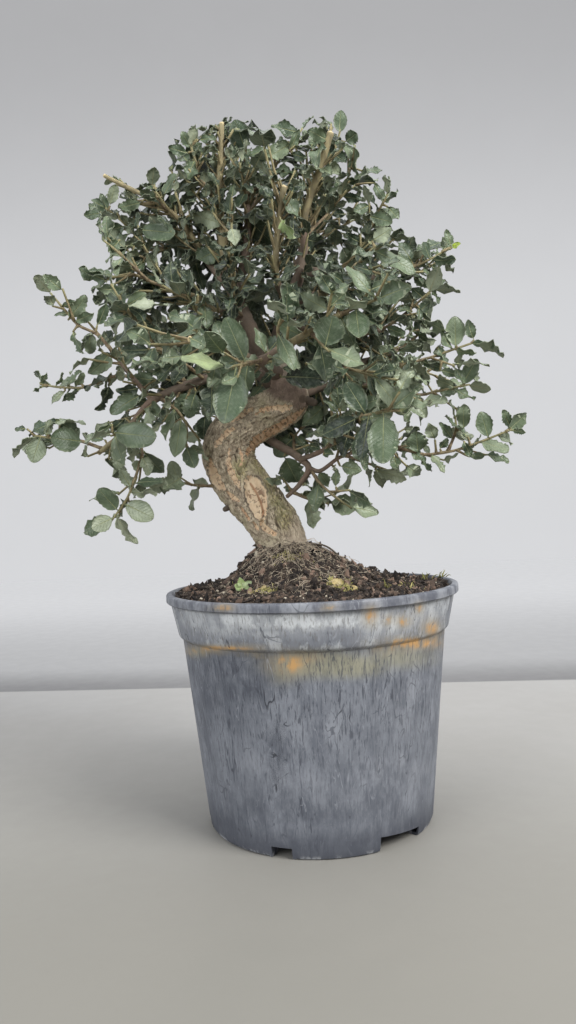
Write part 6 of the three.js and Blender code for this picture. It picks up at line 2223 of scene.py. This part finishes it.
def grow_seen(room, sprays, inner):
    points, owners = [], []
    for spray in sprays:
        for shoot in spray["shoots"]:
            for distance in np.arange(0, shoot.length, 2.0):
                points.append(shoot.at(distance)[0])
                owners.append(spray)
    for stations in LIMBS.values():
        for point in curve_points(stations, np.linspace(0, 1, 8 * len(stations))):
            points.append(point)
            owners.append(inner)
    points = np.array(points)
    pixels = to_pixels(points)
    for place, rows in SEEN_LEAVES.items():
        for order, row in enumerate(rows):
            draw = random_stream(SEEN_SEED + SEEN_LEAF_SEED * order + abs(place or 0))
            gaps = np.hypot(pixels[:, 0] - row[0], pixels[:, 1] - row[1])
            if place is None:
                cost = SEEN_BEHIND_COST * points[:, 1]
            else:
                cost = SEEN_APART_COST * np.abs(points[:, 1] - place)
            nearest = int(np.argmin(gaps + cost))
            root, owner = points[nearest], owners[nearest]
            forward = root[1] if place is None else place
            base = from_pixel(row[0], row[1], forward)
            reach = np.linalg.norm(base - root)
            if reach > SEEN_TWIG_FROM:
                middle = (root + base) / 2 + [0, 0, SEEN_TWIG_RISE * reach]
                owner["seen"].append(Shoot([root, middle, base], False, SEEN_TWIG_SEED + order))
            else:
                base = root
            choices = [seen_leaf(base, row, forward, shift, draw) for shift in SEEN_SHIFTS]
            free = [leaf for leaf in choices if room.free(leaf, SEEN_CLEARANCE, masked=False)]
            leaf = (free or choices)[0]
            room.take(leaf)
            keep_in_sight(leaf)
            owner["leaves"].append(leaf)


# Where the middle of the crown still shows the wall, more leaves grow from the limbs behind
GAP_START = 0.2
GAP_EVERY = 1.3
GAP_LENGTH = (14, 48)
GAP_REACH = 150
GAP_SHARE = 0.32
GAP_CLEARANCE = 1.0
# Their dark tones are painted shade inside the crown
GAP_SHADED_TONES = (0.0, 0.22)
GAP_LEAF_EVERY = 4.0
GAP_FILLS = [(7 * EXTRA_SHOOT_SEED, (1.2, 1.55)), (8 * EXTRA_SHOOT_SEED, (0.8, 1.15))]


def fill_gaps(room, inner, seed, sizes):
    for order, stations in enumerate(LIMBS.values()):
        shoot = limb_shoot(stations)
        start = shoot.length * GAP_START
        limb_seed = seed + EXTRA_OWNER_SEED * order
        for candidate in extra_shoots(shoot, start, GAP_EVERY, limb_seed, GAP_LENGTH):
            draw = random_stream(candidate.seed + 5)
            reach = 0.0
            places = np.arange(GAP_LEAF_EVERY, candidate.length, GAP_LEAF_EVERY)
            for index, distance in enumerate(places):
                is_end = distance > candidate.length - GAP_LEAF_EVERY
                turns = leaf_turns(candidate, distance, index, is_end)
                if off_middle(turns[0]["base"]) > GAP_REACH:
                    continue
                bare = [turn for turn in turns if room.bare_share(turn) > GAP_SHARE]
                leaf = try_leaf(room, bare, GAP_CLEARANCE, int(draw() * 1e6), between(sizes, draw))
                if leaf:
                    # Painted shade: a dark tone for a leaf deep in the crown
                    leaf["tone"] = between(GAP_SHADED_TONES, draw)
                    inner["leaves"].append(leaf)
                    reach = max(reach, distance)
            if reach > 0:
                candidate.length = min(candidate.length, reach + 1)
                inner["extra"].append(candidate)


# A leaf that isn't in the solids may be smaller, and curls and turns more
def loosen(leaf, seed, size):
    draw = random_stream(seed)
    grown = dict(leaf)
    grown["length"] = leaf["length"] * size
    grown["width"] = leaf["width"] * size * between(FILL_WIDTH, draw)
    grown["curl"] = leaf["curl"] + between(FILL_CURL, draw)
    grown["wave"] = leaf["wave"] * size * between(FILL_WAVE, draw)
    grown["turn"] = between(FILL_TURN, draw)
    grown["sweep"] = between(FILL_SWEEP, draw)
    grown["teeth"] = FILL_TEETH
    return grown


def try_leaf(room, turns, clearance, seed, size):
    for leaf in turns:
        leaf = loosen(leaf, seed, size)
        if room.free(leaf, clearance):
            room.take(leaf)
            return leaf
    return None


# A spray with the shoots and leaves that the solids have, and with the turns that each leaf which
# they leave out may take
def find_spray(order, name, paths):
    points = mesh_points(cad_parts["spray_" + name].data)
    shoots = [Shoot(path, True, SPRAY_SEED * order + PATH_SEED * index)
              for index, path in enumerate(paths)]
    leaves = [placed_leaf(shoots[0], *entry[1:]) for entry in PLACED_LEAVES if entry[0] == name]
    leaves = [leaf for leaf in leaves if modelled(leaf, points)]
    for shoot in list(shoots):
        count = min(SIDE_SHOOT["most"], math.floor(shoot.length / SIDE_SHOOT["every"] + 0.5))
        for index in range(count):
            for turn in side_shoot_turns(shoot, index, count):
                if nearest_gap(points, turn.points[-1]) < SAME_SHOOT:
                    shoots.append(turn)
                    break
    waiting = []
    for shoot in shoots:
        start = LEAF["bareShare"] * shoot.length if shoot.is_main else LEAF["bareSideShoot"]
        count = max(1, math.floor((shoot.length - start) / LEAF["every"]))
        for index in range(count + 1):
            is_end = index == count
            distance = shoot.length - LEAF["endInset"] if is_end else start + index * LEAF["every"]
            turns = leaf_turns(shoot, distance, index, is_end)
            in_model = is_end or (shoot.is_main and index % LEAF["modelEvery"] == 1)
            found = [leaf for leaf in turns if in_model and modelled(leaf, points)]
            if found:
                leaves.append(found[0])
            else:
                waiting.append(turns)
    return {"name": name, "shoots": shoots, "leaves": leaves, "waiting": waiting, "extra": [],
            "seen": []}


def grow_crown():
    room = Room(vector(cad_box[0]) * METRE - BOX_MARGIN, vector(cad_box[1]) * METRE + BOX_MARGIN)
    room.add_wood(TRUNK, TRUNK_RELIEF)
    for stations in LIMBS.values():
        room.add_wood(stations, LIMB_RELIEF)
    room.close_wood()
    sprays = []
    for order, (name, paths) in enumerate(SPRAYS.items()):
        spray = find_spray(order, name, paths)
        for leaf in spray["leaves"]:
            room.take(leaf)
        sprays.append(spray)
    for spray in sprays:
        for leaf in spray["leaves"]:
            if "tone" in leaf:
                keep_in_sight(leaf)
    inner = {"name": "inner", "shoots": [], "leaves": [], "extra": [], "seen": []}
    grow_seen(room, sprays, inner)
    for spray in sprays:
        draw = random_stream(len(spray["waiting"]) + WAITING_SEED)
        for turns in spray["waiting"]:
            if draw() > kept_share(turns[0]["base"]):
                continue
            leaf = try_leaf(room, turns, CLEARANCE, int(draw() * 1e6), between(RULE_SIZE, draw))
            if leaf:
                spray["leaves"].append(leaf)
    for order, spray in enumerate(sprays):
        for index, shoot in enumerate(spray["shoots"]):
            if shoot.is_main:
                seed = EXTRA_SHOOT_SEED + EXTRA_OWNER_SEED * order + EXTRA_PATH_SEED * index
                start = EXTRA["from"] * shoot.length
                spray["extra"] += extra_shoots(shoot, start, EXTRA["every"], seed, EXTRA["length"])
        fill_shoots(room, spray)
    for order, stations in enumerate(LIMBS.values()):
        shoot = limb_shoot(stations)
        start = shoot.length * INNER_FROM[stations[0][3] > THICK_ROOT]
        every = INNER_EVERY[stations[-1][2] > HIGH_LIMB]
        seed = 5 * EXTRA_SHOOT_SEED + EXTRA_OWNER_SEED * order
        inner["extra"] += extra_shoots(shoot, start, every, seed, INNER_LENGTH)
    fill_shoots(room, inner)
    for seed, sizes in GAP_FILLS:
        fill_gaps(room, inner, seed, sizes)
    return sprays, inner


def fill_shoots(room, spray):
    kept = []
    for shoot in spray["extra"]:
        draw = random_stream(shoot.seed + 3)
        size = between(EXTRA["size"], draw)
        start = EXTRA["bare"]
        count = max(2, int((shoot.length - start) / EXTRA["leafEvery"]))
        reach = 0.0
        for index in range(count + 2):
            is_end = index >= count - 1
            from_end = shoot.length - 0.8 * (index - count + 1)
            distance = max(1.0, from_end if is_end else start + index * EXTRA["leafEvery"])
            turns = leaf_turns(shoot, distance, index, is_end)
            if draw() > kept_share(turns[0]["base"]):
                continue
            leaf_seed = int(draw() * 1e6)
            leaf_size = size * between(EXTRA["sizeSpread"], draw)
            leaf = try_leaf(room, turns, CLEARANCE, leaf_seed, leaf_size)
            if leaf:
                spray["leaves"].append(leaf)
                reach = max(reach, distance)
        if reach > 0:
            shoot.length = min(shoot.length, reach + 1)
            kept.append(shoot)
    spray["extra"] = kept


# The part of a spray that lies to one side of the crown's middle
def side_of(spray, name, side):
    part = {"name": name}
    for key in ("shoots", "extra", "seen"):
        part[key] = [shoot for shoot in spray[key] if side * (shoot.points[0][0] - CROWN_CENTRE[0]) > 0]
    part["leaves"] = [leaf for leaf in spray["leaves"] if side * (leaf["base"][0] - CROWN_CENTRE[0]) > 0]
    return part


def make_spray(spray, materials, *nodes):
    builder = MeshBuilder(LEAF_MEASURES)
    for shoot in spray["shoots"]:
        add_twig(builder, shoot, TWIG_ROOT_RADIUS if shoot.is_main else SIDE_TWIG_RADIUS)
    for shoot in spray["extra"] + spray["seen"]:
        add_twig(builder, shoot, SIDE_TWIG_RADIUS)
    draw = random_stream(len(spray["leaves"]) * 17 + 5)
    for leaf in spray["leaves"]:
        add_fine_leaf(builder, leaf, draw)
    finish_piece(builder.make("leafy_" + spray["name"], materials), "leafy_shoots", *nodes)


VEIN_EVERY = 2.9


def leaf_material():
    leaf = Recipe("oak_leaf")
    mix, span, times, measure = leaf.mix, leaf.span, leaf.times, leaf.measure
    along, across, size = measure("along"), measure("across"), measure("size")
    under, tone = measure("under"), measure("tone")
    reach = leaf.math("ABSOLUTE", across)
    run = times(along, size)
    midrib_width = span(along, 0.0, 1.0, 0.55, 0.16)
    midrib = leaf.math("SUBTRACT", 1.0, leaf.math("DIVIDE", reach, midrib_width), hold=True)
    slanted = leaf.math("SUBTRACT", run, times(reach, 0.85))
    turn = leaf.math("FRACT", leaf.math("DIVIDE", slanted, VEIN_EVERY))
    wave = leaf.math("ABSOLUTE", leaf.math("SUBTRACT", turn, 0.5))
    veins = span(wave, 0.09, 0.0)
    net = span(leaf.cells(620), 0.05, 0.0)
    broad = leaf.noise(60, detail=4)
    mottle = leaf.noise(380, detail=4, roughness=0.65)
    # The tone paints each leaf's light and shade as well as its colour: dark inside the crown, pale
    # grey-green where it is lit, yellow-green for young leaves and brown for dry ones
    top = mix(span(tone, 0.0, 0.3), (24, 35, 29), (56, 73, 53))
    top = mix(span(tone, 0.25, 0.62), top, (106, 122, 92))
    top = mix(span(tone, 0.52, 0.85), top, (182, 189, 162))
    top = mix(times(span(tone, 0.9, 0.95), span(tone, 1.0, 0.985)), top, (156, 176, 112))
    top = mix(span(tone, 0.985, 1.0), top, (168, 190, 60))
    top = mix(span(broad, 0.4, 0.62, 0.0, 0.42), top, (52, 72, 50))
    top = mix(span(mottle, 0.45, 0.7, 0.0, 0.38), top, (128, 139, 116))
    top = mix(times(veins, 0.2), top, (132, 146, 108))
    top = mix(times(net, 0.1), top, (124, 138, 104))
    top = mix(times(midrib, 0.8), top, (168, 172, 122))
    # Painted highlight along each leaf's rim
    painted_rim_highlight = times(span(measure("rim"), 0.78, 1.0), span(mottle, 0.4, 0.6, 0.1, 0.5))
    top = mix(painted_rim_highlight, top, (150, 158, 128))
    top = mix(span(tone, 1.2, 1.4), top, (176, 158, 108))
    low = mix(span(tone, 0.0, 0.7), (98, 110, 90), (160, 168, 142))
    low = mix(span(broad, 0.35, 0.65, 0.0, 0.3), low, (136, 146, 118))
    low = mix(times(veins, 0.5), low, (176, 180, 154))
    low = mix(times(midrib, 0.9), low, (178, 174, 134))
    leaf.set("Base Color", mix(under, top, low))
    gloss = span(mottle, 0.3, 0.7, 0.32, 0.5)
    leaf.set("Roughness", leaf.math("ADD", gloss, times(under, 0.35)))
    leaf.set("Specular IOR Level", 0.5)
    leaf.set("Sheen Weight", 0.06)
    relief = leaf.math("ADD", times(veins, -0.6), times(midrib, -1.0))
    relief = leaf.math("ADD", relief, times(mottle, 0.7))
    leaf.bump(relief, 0.7, 0.0006)
    return leaf.material


def twig_material():
    twig = Recipe("twig_bark")
    mix, span, times, measure = twig.mix, twig.span, twig.times, twig.measure
    along, tone = measure("along"), measure("tone")
    middle = twig.noise(300, detail=4)
    fine = twig.noise(1100, detail=3)
    base = mix(span(middle, 0.35, 0.65), (98, 82, 64), (146, 130, 100))
    base = mix(span(along, 0.3, 1.0, 0.0, 0.65), base, (146, 144, 102))
    base = mix(times(tone, 0.5), base, (150, 140, 98))
    twig.set("Base Color", base)
    twig.set("Roughness", span(fine, 0.3, 0.7, 0.6, 0.85))
    twig.bump(middle, 0.4, 0.0005)
    return twig.material


# A seedling and dry leaves on the soil: root and tip in pixels, width, height of the tip above the
# root and tone. A tone over 1 is a dry leaf.
GROUND_LEAVES = [
    (244, 590, 235, 585, 7, 3, 0.95), (244, 590, 250, 582, 7, 4, 0.93), (243, 590, 240, 579, 6, 5, 0.96),
    (244, 591, 254, 588, 6, 2, 0.94), (266, 590, 250, 594, 5, 2, 1.6), (258, 590, 271, 588, 5, 3, 1.6),
    (240, 595, 254, 597, 4, 1, 1.4), (343, 588, 333, 580, 8, 4, 1.5), (348, 590, 357, 587, 5, 2, 1.5),
]
GROUND_SHAPE = {"fold": 0.3, "curl": 0.2, "wave": 0.5}
GROUND_SEED = 700


def make_ground_leaves(materials):
    builder = MeshBuilder(LEAF_MEASURES)
    for order, (across, down, tip_across, tip_down, width, rise, tone) in enumerate(GROUND_LEAVES):
        draw = random_stream(GROUND_SEED + order)
        base = on_soil(across, down)
        tip = from_pixel(tip_across, tip_down, base[1] - 1) + [0, 0, 0.2 * rise]
        length = np.linalg.norm(tip - base)
        axis = (tip - base) / length
        face = square_to(axis, vector([draw() - 0.5, -0.9, 0.7]))
        leaf = {"base": base, "axis": axis, "face": face, "length": length, "width": width,
                "phase": FULL_TURN * draw(), "teeth": SEEN_TEETH, "tone": tone, **GROUND_SHAPE}
        add_fine_leaf(builder, leaf, draw)
    return builder.make("ground_leaves", materials)


sprays, inner = grow_crown()
leaf_materials = [leaf_material(), twig_material()]
for spray in sprays:
    make_spray(spray, leaf_materials, "spray_" + spray["name"])
for name, side in (("inner_left", -1), ("inner_right", 1)):
    make_spray(side_of(inner, name, side), leaf_materials)
finish_piece(make_ground_leaves(leaf_materials), "leafy_shoots")
